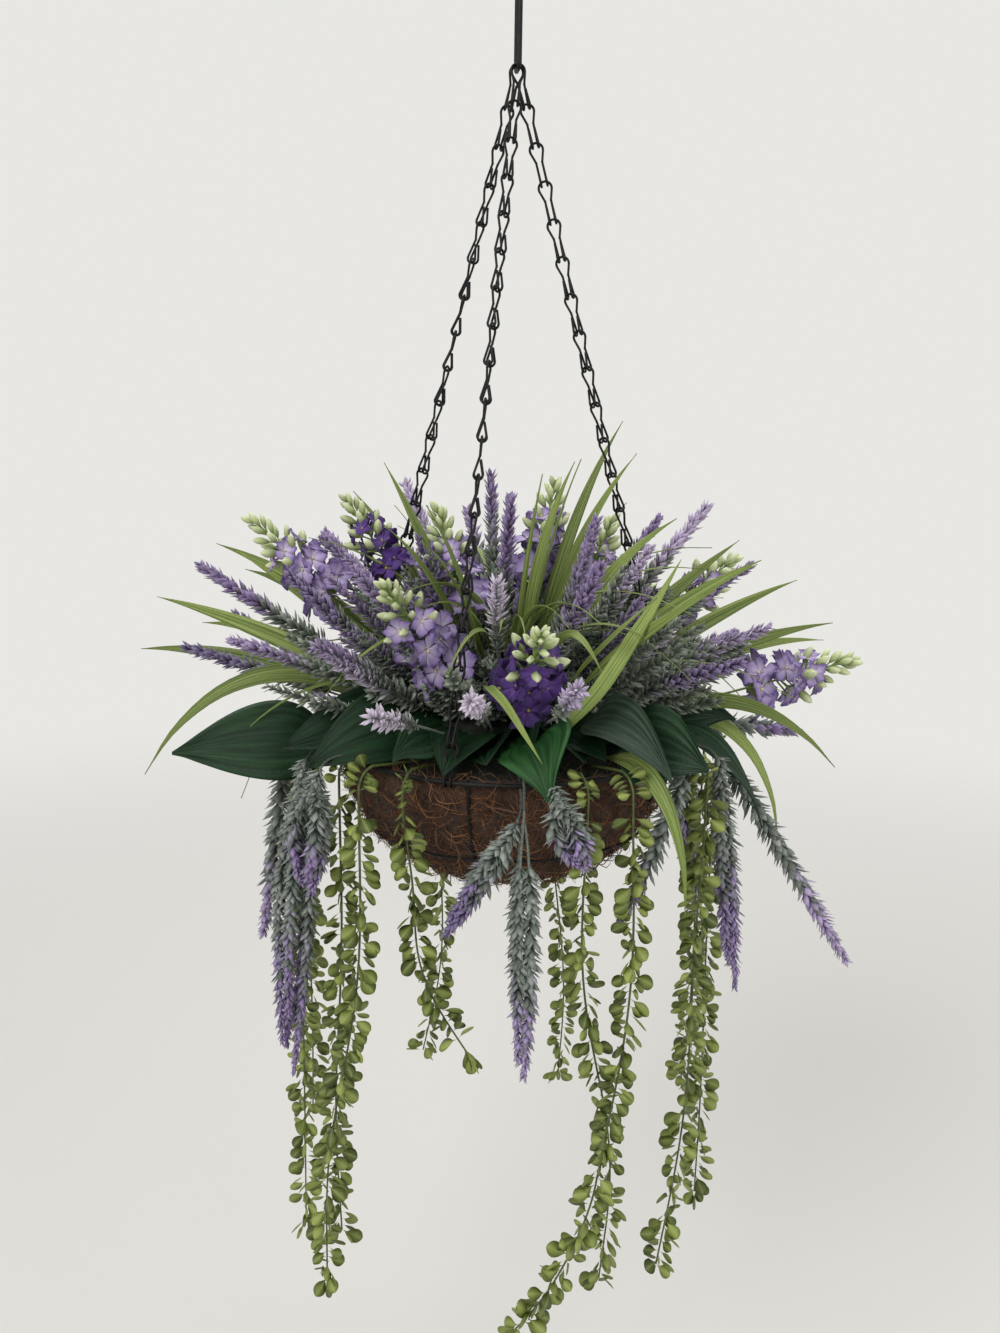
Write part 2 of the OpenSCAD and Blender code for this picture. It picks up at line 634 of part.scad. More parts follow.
hanger_hook();
hanger_loop();
chain_left();
chain_front();
chain_right();
rim_hoop();
belly_hoop();
base_hoop();
frame_ribs();
coir_liner();
floral_foam();
lavender_left();
lavender_front();
lavender_top();
lavender_right();
lavender_back();
lavender_trail_left();
lavender_trail_front();
lavender_trail_right();
lavender_trail_back();
delphinium_left();
delphinium_front();
delphinium_right();
delphinium_back();
florets_pale();
florets_dark();
grass_left();
grass_top();
grass_front();
grass_right();
grass_back();
hosta_left();
hosta_small();
hosta_center();
hosta_folded();
hosta_broad();
hosta_drooping();
hosta_side();
hosta_back_1();
hosta_back_2();
hosta_back_3();
hosta_back_4();
vine_1();
vine_2();
vine_3();
vine_4();
vine_5();
vine_6();
vine_7();
vine_8();
vine_9();
vine_10();
vine_11();
vine_12();
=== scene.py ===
import math
import bmesh
import bpy
import numpy as np
from mathutils import Matrix, Quaternion, Vector, noise


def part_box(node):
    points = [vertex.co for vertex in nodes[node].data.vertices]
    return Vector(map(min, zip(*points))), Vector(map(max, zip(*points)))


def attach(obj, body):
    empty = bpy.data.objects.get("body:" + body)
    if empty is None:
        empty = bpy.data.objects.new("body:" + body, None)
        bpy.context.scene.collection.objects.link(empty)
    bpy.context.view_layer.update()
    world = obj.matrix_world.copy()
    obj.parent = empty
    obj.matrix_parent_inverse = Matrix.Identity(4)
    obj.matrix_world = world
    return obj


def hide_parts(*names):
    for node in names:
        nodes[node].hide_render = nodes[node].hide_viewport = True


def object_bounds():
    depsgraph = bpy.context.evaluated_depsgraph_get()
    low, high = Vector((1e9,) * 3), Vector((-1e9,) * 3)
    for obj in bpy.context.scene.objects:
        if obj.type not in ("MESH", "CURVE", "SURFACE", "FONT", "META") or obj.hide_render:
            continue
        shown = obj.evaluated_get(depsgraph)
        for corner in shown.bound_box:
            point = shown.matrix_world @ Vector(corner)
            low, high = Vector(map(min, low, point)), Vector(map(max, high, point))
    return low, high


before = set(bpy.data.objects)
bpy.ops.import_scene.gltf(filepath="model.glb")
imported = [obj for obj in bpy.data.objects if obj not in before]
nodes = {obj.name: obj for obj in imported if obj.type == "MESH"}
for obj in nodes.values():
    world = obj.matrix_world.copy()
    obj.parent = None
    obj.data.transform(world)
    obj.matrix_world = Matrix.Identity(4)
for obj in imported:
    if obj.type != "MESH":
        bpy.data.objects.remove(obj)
cadBox = [[float(v) for v in corner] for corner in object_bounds()]
scene = bpy.context.scene
dice = np.random.default_rng(11)

# All stems fan out from one spot a little under the rim's middle
rootDrop = 0.010
rimLow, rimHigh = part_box("rim_hoop")
rimZ = (rimLow.z + rimHigh.z) / 2
root = np.array([0.0, 0.0, rimZ - rootDrop])
golden = math.pi * (3 - math.sqrt(5))
goldenDegrees = 137.5
wholeTurn = 6.283
print("stage: frame loaded,", len(nodes), "nodes")


# Nodes for shaders and geometry

def toLinear(hexText):
    values = [int(hexText[i:i + 2], 16) / 255 for i in (1, 3, 5)]
    return [v / 12.92 if v <= 0.04045 else ((v + 0.055) / 1.055) ** 2.4 for v in values] + [1.0]


def addNode(tree, kind, settings=None):
    # A socket among the settings is linked, and any other value is set
    node = tree.nodes.new(kind)
    for key, value in (settings or {}).items():
        if isinstance(value, bpy.types.NodeSocket):
            tree.links.new(value, node.inputs[key])
        elif key == "stops":
            elements = node.color_ramp.elements
            elements.remove(elements[1])
            for i, (place, colour) in enumerate(value):
                element = elements[0] if i == 0 else elements.new(place)
                element.position = place
                element.color = toLinear(colour)
        elif isinstance(key, int) or key in node.inputs:
            node.inputs[key].default_value = value
        else:
            setattr(node, key, value)
    return node


def maths(tree, operation, *values):
    return addNode(tree, "ShaderNodeMath", {"operation": operation, **dict(enumerate(values))}).outputs[0]


def mapped(tree, value, low, high, toLow, toHigh, easing="LINEAR"):
    return addNode(tree, "ShaderNodeMapRange", {"interpolation_type": easing, 0: value, 1: low, 2: high,
                                                3: toLow, 4: toHigh}).outputs[0]


def ramp(tree, stops, place):
    return addNode(tree, "ShaderNodeValToRGB", {"stops": stops, "Fac": place}).outputs["Color"]


def mixed(tree, share, first, second, blend="MIX"):
    return addNode(tree, "ShaderNodeMix", {"data_type": "RGBA", "blend_type": blend, 0: share, 6: first,
                                           7: second}).outputs[2]


def grain(tree, scale, detail, more=None):
    spot = addNode(tree, "ShaderNodeTexCoord").outputs["Object"]
    return addNode(tree, "ShaderNodeTexNoise", {"Scale": scale, "Detail": detail, "Vector": spot,
                                                **(more or {})}).outputs


def brightened(tree, colour, value):
    return addNode(tree, "ShaderNodeHueSaturation", {"Color": colour, "Value": value}).outputs["Color"]


def attribute(tree, name):
    return addNode(tree, "ShaderNodeAttribute", {"attribute_name": name}).outputs["Fac"]


def paint(tree, shader, colour):
    tree.links.new(colour, shader.inputs["Base Color"])


def roughen(tree, shader, height, strength, distance):
    bump = addNode(tree, "ShaderNodeBump", {"Strength": strength, "Distance": distance, "Height": height})
    tree.links.new(bump.outputs[0], shader.inputs["Normal"])


# Camera and stage

photoView = {"place": (-0.00575, -0.870, -0.3376), "pitchDown": 11.14, "roll": 0.88, "lens": 32.41,
             "sensor": 36}
stageLook = {"floorDrop": 0.22, "floorRadius": 7.0, "floorSides": 96, "floor": "#dddbd6", "back": "#e8e7e3",
             "ambient": 0.46, "fadeFrom": 1.3, "fadeTo": 3.0}
# Each light: place, size and power
lights = {"keyLight": ((-1.3, -1.9, 1.0), 1.6, 36), "fillLight": ((1.9, -1.5, 0.2), 1.8, 16),
          "topLight": ((0.2, 0.9, 1.5), 1.8, 30)}

camera = bpy.data.objects.new("photoCamera", bpy.data.cameras.new("photoCamera"))
camera.data.lens = photoView["lens"]
camera.data.sensor_width = photoView["sensor"]
camera.matrix_world = (Matrix.Translation(photoView["place"])
                       @ Matrix.Rotation(math.radians(90 - photoView["pitchDown"]), 4, "X")
                       @ Matrix.Rotation(math.radians(photoView["roll"]), 4, "Z"))
scene.collection.objects.link(camera)
scene.camera = camera
scene.view_settings.view_transform = "Standard"

# The backdrop is pale where it is seen and dimmer where it only lights
world = bpy.data.worlds.new("studio")
scene.world = world
world.use_nodes = True
tree = world.node_tree
tree.nodes.clear()
rays = addNode(tree, "ShaderNodeLightPath").outputs
direct = maths(tree, "MAXIMUM", rays["Is Camera Ray"], rays["Is Glossy Ray"])
seen = maths(tree, "MAXIMUM", direct, rays["Is Transmission Ray"])
soft = addNode(tree, "ShaderNodeBackground", {"Color": (1, 1, 1, 1), "Strength": stageLook["ambient"]})
pale = addNode(tree, "ShaderNodeBackground", {"Color": toLinear(stageLook["back"]), "Strength": 1.0})
both = addNode(tree, "ShaderNodeMixShader", {0: seen, 1: soft.outputs[0], 2: pale.outputs[0]})
addNode(tree, "ShaderNodeOutputWorld", {"Surface": both.outputs[0]})

floorZ = cadBox[0][2] - stageLook["floorDrop"]
floorMesh = bpy.data.meshes.new("studioFloor")
grid = bmesh.new()
bmesh.ops.create_circle(grid, cap_ends=True, segments=stageLook["floorSides"],
                        radius=stageLook["floorRadius"], matrix=Matrix.Translation((0, 0, floorZ)))
grid.to_mesh(floorMesh)
grid.free()
floor = bpy.data.objects.new("studioFloor", floorMesh)
scene.collection.objects.link(floor)

# Pale paper floor: takes the soft shadow near the basket and runs into the backdrop further out
paper = bpy.data.materials.new("palePaper")
paper.use_nodes = True
tree = paper.node_tree
tree.nodes.clear()
spot = addNode(tree, "ShaderNodeTexCoord").outputs["Object"]
away = addNode(tree, "ShaderNodeVectorMath", {"operation": "LENGTH", 0: spot}).outputs["Value"]
fade = mapped(tree, away, stageLook["fadeFrom"], stageLook["fadeTo"], 0.0, 1.0, "SMOOTHSTEP")
matt = addNode(tree, "ShaderNodeBsdfDiffuse", {"Color": toLinear(stageLook["floor"]), "Roughness": 0.6})
glow = addNode(tree, "ShaderNodeEmission", {"Color": toLinear(stageLook["back"]), "Strength": 1.0})
both = addNode(tree, "ShaderNodeMixShader", {0: fade, 1: matt.outputs[0], 2: glow.outputs[0]})
addNode(tree, "ShaderNodeOutputMaterial", {"Surface": both.outputs[0]})
floorMesh.materials.append(paper)

for name, (place, size, power) in lights.items():
    light = bpy.data.objects.new(name, bpy.data.lights.new(name, "AREA"))
    light.data.shape = "DISK"
    light.data.size = size
    light.data.energy = power
    light.location = place
    light.rotation_euler = (Vector((0, 0, rimZ)) - Vector(place)).to_track_quat("-Z", "Y").to_euler()
    scene.collection.objects.link(light)
print("stage: camera and lights placed")


# Materials

def startMaterial(name, roughness, sheen=0.0):
    material = bpy.data.materials.new(name)
    material.use_nodes = True
    shader = material.node_tree.nodes["Principled BSDF"]
    shader.inputs["Roughness"].default_value = roughness
    shader.inputs["Sheen Weight"].default_value = sheen
    return material, material.node_tree, shader


# Black plastic-coated wire: a satin black with faint scuffs and a little dust on its upper side
coatedWire, tree, shader = startMaterial("coatedWire", 0.5)
shader.inputs["Specular IOR Level"].default_value = 0.25
scuff = grain(tree, 420.0, 4.0)["Fac"]
tone = ramp(tree, [(0.3, "#0a0a0b"), (0.6, "#111112"), (0.8, "#1c1c1e")], scuff)
facing = addNode(tree, "ShaderNodeNewGeometry").outputs["Normal"]
up = addNode(tree, "ShaderNodeSeparateXYZ", {0: facing}).outputs["Z"]
paint(tree, shader, mixed(tree, mapped(tree, up, 0.55, 1.0, 0.0, 0.06), tone, toLinear("#77736c")))
tree.links.new(mapped(tree, scuff, 0.3, 0.7, 0.42, 0.62), shader.inputs["Roughness"])
roughen(tree, shader, grain(tree, 1500.0, 2.0)["Fac"], 0.25, 0.0002)

# Coir mat: matted brown coconut fibre, mottled brown, going nearly black between the strands as painted shade
# in the gaps
coirMat, tree, shader = startMaterial("coirMat", 0.95, 0.15)
patch = grain(tree, 55.0, 3.0)["Fac"]
strand = grain(tree, 420.0, 5.0, {"Roughness": 0.7, "Distortion": 2.5})["Fac"]
both = addNode(tree, "ShaderNodeMix", {"data_type": "FLOAT", 0: 0.65, 2: patch, 3: strand}).outputs[0]
# Painted shade: the low end of the ramp is nearly black, for the gaps between the strands
paint(tree, shader, ramp(tree, [(0.34, "#120904"), (0.46, "#301c0e"), (0.56, "#52331b"), (0.7, "#7a4f2b")],
                         both))
roughen(tree, shader, strand, 0.9, 0.0015)

# Loose coir strands: dry round fibres, each one its own brown
coirStrand, tree, shader = startMaterial("coirStrand", 0.8, 0.1)
tone = ramp(tree, [(0.0, "#2a170b"), (0.35, "#5a361c"), (0.7, "#87562f"), (1.0, "#b07c4c")],
            attribute(tree, "shade"))
paint(tree, shader, mixed(tree, 0.45, tone, grain(tree, 900.0, 2.0)["Color"], "MULTIPLY"))

# Dark foam with moss over it: coloured nearly black green as painted shade between the stems
mossyFoam, tree, shader = startMaterial("mossyFoam", 0.95)
cells = grain(tree, 260.0, 5.0)["Fac"]
paint(tree, shader, ramp(tree, [(0.35, "#0b0e08"), (0.55, "#161b0e"), (0.75, "#272f18")], cells))
roughen(tree, shader, cells, 0.8, 0.002)

# Small filler leaves coloured dark as painted shade of the planting, with painted shade running near black at
# the foot
fillerLeaf, tree, shader = startMaterial("fillerLeaf", 0.75)
tone = ramp(tree, [(0.0, "#17220f"), (0.5, "#2c3a25"), (1.0, "#4b583e")], attribute(tree, "shade"))
paint(tree, shader, mixed(tree, attribute(tree, "blade"), toLinear("#0f160b"), tone))


def leafletMaterial(name, greys, purples, paintedHeelShade):
    # Grey at first, then purple past the sprig's own start of bloom, with pale tips and painted shade
    # darkening each leaflet's heel
    material, tree, shader = startMaterial(name, 0.8, 0.15)
    shade, blade = attribute(tree, "shade"), attribute(tree, "blade")
    past = maths(tree, "SUBTRACT", attribute(tree, "along"), attribute(tree, "bloom"))
    spread = maths(tree, "MULTIPLY_ADD", shade, 0.34, -0.17)
    turned = mapped(tree, maths(tree, "ADD", past, spread), -0.08, 0.22, 0.0, 1.0, "SMOOTHSTEP")
    grey = ramp(tree, list(zip((0.0, 0.5, 1.0), greys)), shade)
    flower = ramp(tree, list(zip((0.0, 0.45, 0.75, 1.0), purples)), attribute(tree, "tint"))
    lit = brightened(tree, flower, mapped(tree, shade, 0.0, 1.0, 0.72, 1.22))
    body = mixed(tree, turned, grey, lit)
    paleEnd = mixed(tree, mapped(tree, blade, 0.2, 1.0, 0.0, 0.24), body, toLinear("#cfcec9"))
    # Painted shade: each leaflet is darkened towards its heel at the stem
    paint(tree, shader, brightened(tree, paleEnd, mapped(tree, blade, 0.0, 0.55, paintedHeelShade, 1.0)))
    return material


# Lavender leaflets: felty grey green that turns to lilac and purple towards the tip of the sprig
lavenderLeaf = leafletMaterial("lavenderLeaf", ("#37432f", "#5c6b54", "#8f9d86"),
                               ("#4c376e", "#795c96", "#a08ab6", "#d0c2d6"), 0.45)
# Hanging leaflets: the same felt in paler colours, with lighter painted shade at the heels
trailLeaf = leafletMaterial("trailLeaf", ("#414d43", "#66746a", "#98a397"),
                            ("#574180", "#866ca6", "#ab98c3", "#d6cadd"), 0.55)


def stalkMaterial(name, roughness, sheen, scale, dark, light):
    material, tree, shader = startMaterial(name, roughness, sheen)
    paint(tree, shader, ramp(tree, [(0.3, dark), (0.7, light)], grain(tree, scale, 3.0)["Fac"]))
    return material


# Stalks: felted grey on the lavender, smooth light green on the delphinium, olive on the vines
lavenderStem = stalkMaterial("lavenderStem", 0.85, 0.2, 700.0, "#4a534b", "#7c857b")
flowerStalk = stalkMaterial("flowerStalk", 0.55, 0.0, 300.0, "#5f7a38", "#8ea557")
vineStem = stalkMaterial("vineStem", 0.6, 0.0, 240.0, "#39431f", "#5c6832")

# Closed buds: creamy green, paler at the point
greenBud, tree, shader = startMaterial("greenBud", 0.6)
tone = ramp(tree, [(0.0, "#83965a"), (0.5, "#adb982"), (1.0, "#d0d6ae")], attribute(tree, "blade"))
paint(tree, shader, brightened(tree, tone, mapped(tree, attribute(tree, "shade"), 0.0, 1.0, 0.8, 1.15)))


def petalMaterial(name, stops):
    material, tree, shader = startMaterial(name, 0.6, 0.1)
    veins = grain(tree, 520.0, 3.0, {"Distortion": 1.0})["Fac"]
    wander = maths(tree, "MULTIPLY_ADD", veins, 0.3, -0.15)
    margin = maths(tree, "MULTIPLY_ADD", attribute(tree, "edge"), 0.16, attribute(tree, "blade"))
    tone = ramp(tree, stops, maths(tree, "ADD", wander, margin))
    each = maths(tree, "MULTIPLY_ADD", attribute(tree, "lobe"), 0.4, attribute(tree, "shade"))
    paint(tree, shader, brightened(tree, tone, mapped(tree, each, 0.0, 1.4, 0.78, 1.2)))
    roughen(tree, shader, veins, 0.3, 0.0006)
    return material


# Delphinium petals: thin, pale in the throat and stronger towards the rim
palePetal = petalMaterial("palePetal", [(0.0, "#d4cda4"), (0.16, "#c9bdd0"), (0.5, "#ab9cc0"),
                                        (0.8, "#8e7aaa"), (1.0, "#684f8e")])
darkPetal = petalMaterial("darkPetal", [(0.0, "#b9ab5e"), (0.16, "#6c4893"), (0.5, "#4f2a7d"),
                                        (1.0, "#391b60")])


def leafMaterial(name, dark, mid, light, veinCount, roughness):
    # Blotches run lengthwise, veins are lighter lines, and the foot is darker
    material, tree, shader = startMaterial(name, roughness)
    shader.inputs["Specular IOR Level"].default_value = 0.3
    across, along, shade = [attribute(tree, key) for key in ("across", "along", "shade")]
    vein = maths(tree, "SINE", maths(tree, "MULTIPLY", across, veinCount * 2 * math.pi))
    lengthwise = addNode(tree, "ShaderNodeCombineXYZ", {0: maths(tree, "MULTIPLY", across, 5.0), 1: along,
                                                        2: maths(tree, "MULTIPLY", shade, 40.0)})
    blotch = addNode(tree, "ShaderNodeTexNoise", {"Scale": 2.2, "Detail": 4.0,
                                                  "Vector": lengthwise.outputs[0]})
    tone = ramp(tree, [(0.3, dark), (0.52, mid), (0.75, light)], blotch.outputs["Fac"])
    lined = mixed(tree, mapped(tree, vein, 0.6, 1.0, 0.0, 0.3), tone, toLinear(light))
    grown = mixed(tree, mapped(tree, along, 0.0, 0.4, 0.55, 0.0), lined, toLinear(dark))
    paint(tree, shader, brightened(tree, grown, mapped(tree, shade, 0.0, 1.0, 0.75, 1.2)))
    height = maths(tree, "MULTIPLY_ADD", vein, 0.4, grain(tree, 650.0, 4.0)["Fac"])
    roughen(tree, shader, height, 0.45, 0.0008)
    return material


# Hosta leaves: dark and slightly waxy, with parallel veins; the young one is fresher, an underside greyer
hostaDark = leafMaterial("hostaDark", "#0d2011", "#17321a", "#26492a", 7, 0.45)
hostaBright = leafMaterial("hostaBright", "#143014", "#214a21", "#3a6836", 7, 0.45)
hostaGrey = leafMaterial("hostaGrey", "#1b2a1f", "#2c3e30", "#435644", 7, 0.5)
# Grass blades: yellow green with fine lengthwise ribs
grassBlade = leafMaterial("grassBlade", "#516531", "#7b8d46", "#a6b26c", 5, 0.5)

# Vine leaves: small and olive, paler along the rib
vineLeaf, tree, shader = startMaterial("vineLeaf", 0.55)
tone = ramp(tree, [(0.0, "#4c5826"), (0.5, "#707e37"), (1.0, "#98a556")], attribute(tree, "shade"))
rib = mapped(tree, attribute(tree, "edge"), 0.0, 0.25, 0.35, 0.0)
paint(tree, shader, mixed(tree, rib, tone, toLinear("#a5ad66")))
roughen(tree, shader, grain(tree, 700.0, 3.0)["Fac"], 0.35, 0.0005)
print("stage: materials made")


# Geometry Nodes trees

def newTree(name, inputs):
    tree = bpy.data.node_groups.new(name, "GeometryNodeTree")
    tree.interface.new_socket("Geometry", in_out="INPUT", socket_type="NodeSocketGeometry")
    for label, kind in inputs.items():
        tree.interface.new_socket(label, in_out="INPUT", socket_type="NodeSocket" + kind)
    tree.interface.new_socket("Geometry", in_out="OUTPUT", socket_type="NodeSocketGeometry")
    return tree, addNode(tree, "NodeGroupInput").outputs


def named(tree, kind, name):
    return addNode(tree, "GeometryNodeInputNamedAttribute", {"data_type": kind,
                                                             "Name": name}).outputs["Attribute"]


def turnBy(tree, rotation, axis, angle):
    turn = addNode(tree, "FunctionNodeAxisAngleToRotation", {"Axis": axis, "Angle": angle}).outputs[0]
    return addNode(tree, "FunctionNodeRotateRotation", {"rotation_space": "LOCAL", "Rotation": rotation,
                                                        "Rotate By": turn}).outputs[0]


def randomFloat(tree, low, high, seed, step):
    own = maths(tree, "ADD", seed, float(step))
    return addNode(tree, "FunctionNodeRandomValue", {"data_type": "FLOAT", 2: low, 3: high,
                                                     "Seed": own}).outputs[1]


def coloured(tree, geometry, material):
    return addNode(tree, "GeometryNodeSetMaterial", {"Geometry": geometry, "Material": material}).outputs[0]


def tubesOf(tree, mesh, sides):
    lines = addNode(tree, "GeometryNodeMeshToCurve", {"Mesh": mesh}).outputs[0]
    ring = addNode(tree, "GeometryNodeCurvePrimitiveCircle", {"Resolution": sides, "Radius": 1.0}).outputs[0]
    tubes = addNode(tree, "GeometryNodeCurveToMesh",
                    {"Fill Caps": True, "Curve": lines, "Profile Curve": ring,
                     "Scale": named(tree, "FLOAT", "radius")})
    return lines, tubes.outputs[0]


def shadedSpots(tree, points, seed):
    return addNode(tree, "GeometryNodeStoreNamedAttribute",
                   {"data_type": "FLOAT", "domain": "POINT", "Name": "shade", "Geometry": points,
                    "Value": randomFloat(tree, 0.0, 1.0, seed, 1)}).outputs[0]


def copiesOf(tree, part, settings):
    shape = addNode(tree, "GeometryNodeObjectInfo", {"Object": part}).outputs["Geometry"]
    copies = addNode(tree, "GeometryNodeInstanceOnPoints", {"Instance": shape, **settings}).outputs[0]
    return addNode(tree, "GeometryNodeRealizeInstances", {"Geometry": copies}).outputs[0]


# A stem along each line, with leaflets spiralling up its leafy part
sprigTree, given = newTree("leafySprig", {"Leaflet": "Object", "Spacing": "Float", "Low Tilt": "Float",
                                          "Tip Tilt": "Float", "Seed": "Int", "Stem Material": "Material",
                                          "Leaf Material": "Material"})
tree, seed, stemSides = sprigTree, given["Seed"], 5
lines, tubes = tubesOf(tree, given["Geometry"], stemSides)
spots = addNode(tree, "GeometryNodeCurveToPoints", {"mode": "LENGTH", "Curve": lines,
                                                    "Length": given["Spacing"]})
along = named(tree, "FLOAT", "along")
leafy = addNode(tree, "FunctionNodeCompare", {"data_type": "FLOAT", "operation": "GREATER_THAN", 0: along,
                                              1: 0.0})
aligned = addNode(tree, "FunctionNodeAlignRotationToVector",
                  {"axis": "Z", "Vector": named(tree, "FLOAT_VECTOR", "heading")})
count = addNode(tree, "GeometryNodeInputIndex").outputs[0]
spiral = maths(tree, "MULTIPLY_ADD", count, golden, randomFloat(tree, -0.5, 0.5, seed, 2))
tilt = mapped(tree, along, 0.0, 1.0, given["Low Tilt"], given["Tip Tilt"])
loose = maths(tree, "ADD", tilt, randomFloat(tree, -0.2, 0.2, seed, 3))
spun = turnBy(tree, aligned.outputs[0], (0, 0, 1), spiral)
big = maths(tree, "MULTIPLY", named(tree, "FLOAT", "girth"), randomFloat(tree, 0.75, 1.15, seed, 4))
leaves = copiesOf(tree, given["Leaflet"], {"Points": shadedSpots(tree, spots.outputs["Points"], seed),
                                           "Selection": leafy.outputs[0],
                                           "Rotation": turnBy(tree, spun, (1, 0, 0), loose), "Scale": big})
joined = addNode(tree, "GeometryNodeJoinGeometry")
tree.links.new(coloured(tree, leaves, given["Leaf Material"]), joined.inputs[0])
tree.links.new(coloured(tree, tubes, given["Stem Material"]), joined.inputs[0])
addNode(tree, "NodeGroupOutput", {"Geometry": joined.outputs[0]})

# A copy of one part on each point, turned and sized by the point's own values
copyTree, given = newTree("placedCopies", {"Part": "Object", "Material": "Material"})
copies = copiesOf(copyTree, given["Part"], {"Points": given["Geometry"],
                                            "Rotation": named(copyTree, "QUATERNION", "turn"),
                                            "Scale": named(copyTree, "FLOAT", "size")})
addNode(copyTree, "NodeGroupOutput", {"Geometry": coloured(copyTree, copies, given["Material"])})

# A round stalk along each line
stalkTree, given = newTree("stalks", {"Sides": "Int", "Material": "Material"})
lines, tubes = tubesOf(stalkTree, given["Geometry"], given["Sides"])
addNode(stalkTree, "NodeGroupOutput", {"Geometry": coloured(stalkTree, tubes, given["Material"])})

# Parts strewn over a surface, lying along it with some lean
strewTree, given = newTree("strewn", {"Part": "Object", "Density": "Float", "Small": "Float",
                                      "Large": "Float", "Low Lean": "Float", "High Lean": "Float",
                                      "Seed": "Int", "Material": "Material"})
tree, seed = strewTree, given["Seed"]
spots = addNode(tree, "GeometryNodeDistributePointsOnFaces",
                {"distribute_method": "RANDOM", "Mesh": given["Geometry"], "Density": given["Density"],
                 "Seed": seed}).outputs
spun = turnBy(tree, spots["Rotation"], (0, 0, 1), randomFloat(tree, 0.0, wholeTurn, seed, 2))
lean = mapped(tree, randomFloat(tree, 0.0, 1.0, seed, 3), 0.0, 1.0, given["Low Lean"], given["High Lean"])
leaned = turnBy(tree, spun, (1, 0, 0), lean)
big = mapped(tree, randomFloat(tree, 0.0, 1.0, seed, 5), 0.0, 1.0, given["Small"], given["Large"])
copies = copiesOf(tree, given["Part"],
                  {"Points": shadedSpots(tree, spots["Points"], seed), "Scale": big,
                   "Rotation": turnBy(tree, leaned, (0, 0, 1), randomFloat(tree, 0.0, wholeTurn, seed, 4))})
addNode(tree, "NodeGroupOutput", {"Geometry": coloured(tree, copies, given["Material"])})
print("stage: node trees made")


# Reading the CAD nodes and building meshes

weldGap = 2e-6
tiny = 1e-12


def looseSolids(name):
    grid = bmesh.new()
    grid.from_mesh(nodes[name].data)
    bmesh.ops.remove_doubles(grid, verts=grid.verts, dist=weldGap)
    grid.verts.index_update()
    seen, solids = set(), []
    for first in grid.verts:
        if first.index in seen:
            continue
        seen.add(first.index)
        stack, found = [first], []
        while stack:
            vertex = stack.pop()
            found.append(tuple(vertex.co))
            for edge in vertex.link_edges:
                other = edge.other_vert(vertex)
                if other.index not in seen:
                    seen.add(other.index)
                    stack.append(other)
        solids.append(np.array(found))
    grid.free()
    return solids


def unit(vector):
    vector = np.asarray(vector, float)
    return vector / max(np.linalg.norm(vector), tiny)


def distances(points, spot):
    return np.linalg.norm(points - spot, axis=1)


def wayOf(azimuth, lean):
    a, b = math.radians(azimuth), math.radians(lean)
    return np.array([math.sin(a) * math.sin(b), -math.cos(a) * math.sin(b), math.cos(b)])


def smoothLine(points, count):
    points = np.asarray(points, float)
    padded = np.vstack([2 * points[0] - points[1], points, 2 * points[-1] - points[-2]])
    out = []
    for u in np.linspace(0, len(points) - 1, count):
        i = min(int(u), len(points) - 2)
        t = u - i
        a, b, c, d = padded[i:i + 4]
        out.append(0.5 * (2 * b + (c - a) * t + (2 * a - 5 * b + 4 * c - d) * t ** 2
                          + (3 * b - a - 3 * c + d) * t ** 3))
    return np.array(out)


def headings(points):
    steps = np.gradient(points, axis=0)
    return steps / np.maximum(np.linalg.norm(steps, axis=1), tiny)[:, None]


def stepsAlong(line):
    return np.concatenate([[0], np.cumsum(np.linalg.norm(np.diff(line, axis=0), axis=1))])


def setValues(mesh, values):
    kinds = {1: ("FLOAT", "value"), 3: ("FLOAT_VECTOR", "vector"), 4: ("QUATERNION", "value")}
    for name, array in values.items():
        array = np.asarray(array, np.float32)
        kind, field = kinds[1 if array.ndim == 1 else array.shape[1]]
        mesh.attributes.new(name, kind, "POINT").data.foreach_set(field, array.ravel())


def makeMesh(name, points, faces, values=None, edges=()):
    mesh = bpy.data.meshes.new(name)
    mesh.from_pydata([tuple(p) for p in points], list(edges), faces)
    setValues(mesh, values or {})
    mesh.update()
    return mesh


def outward(mesh):
    grid = bmesh.new()
    grid.from_mesh(mesh)
    bmesh.ops.recalc_face_normals(grid, faces=grid.faces)
    grid.to_mesh(mesh)
    grid.free()
    mesh.shade_smooth()
    return mesh


def lineMesh(name, paths):
    points = np.vstack([path["points"] for path in paths])
    edges, start = [], 0
    for path in paths:
        edges += [(start + i, start + i + 1) for i in range(len(path["points"]) - 1)]
        start += len(path["points"])
    keys = [key for key in paths[0] if key != "points"]
    values = {key: np.concatenate([np.asarray(path[key]) for path in paths]) for key in keys}
    return makeMesh(name, points, [], values, edges)


def pointMesh(name, places, turns, sizes):
    values = {"turn": np.array([tuple(turn) for turn in turns]), "size": np.array(sizes),
              "shade": dice.random(len(places))}
    return makeMesh(name, places, [], values)


def runTree(mesh, tree, settings):
    worker = bpy.data.objects.new(mesh.name, mesh)
    scene.collection.objects.link(worker)
    modifier = worker.modifiers.new("build", "NODES")
    modifier.node_group = tree
    for item in tree.interface.items_tree:
        if item.item_type == "SOCKET" and item.in_out == "INPUT" and item.name in settings:
            modifier[item.identifier] = settings[item.name]
    graph = bpy.context.evaluated_depsgraph_get()
    result = bpy.data.meshes.new_from_object(worker.evaluated_get(graph), preserve_all_data_layers=True,
                                             depsgraph=graph)
    bpy.data.objects.remove(worker)
    result.shade_smooth()
    return result


def addPiece(name, mesh, slotName, *replaced):
    piece = bpy.data.objects.new(name, mesh)
    scene.collection.objects.link(piece)
    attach(piece, "basket")
    if replaced:
        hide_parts(*replaced)


def nodeWords(name):
    first, *rest = name.split("_")
    return first + "".join(word.capitalize() for word in rest)


def gridNormals(top):
    normals = np.cross(np.gradient(top, axis=0), np.gradient(top, axis=1))
    return normals / np.maximum(np.linalg.norm(normals, axis=2), tiny)[:, :, None]


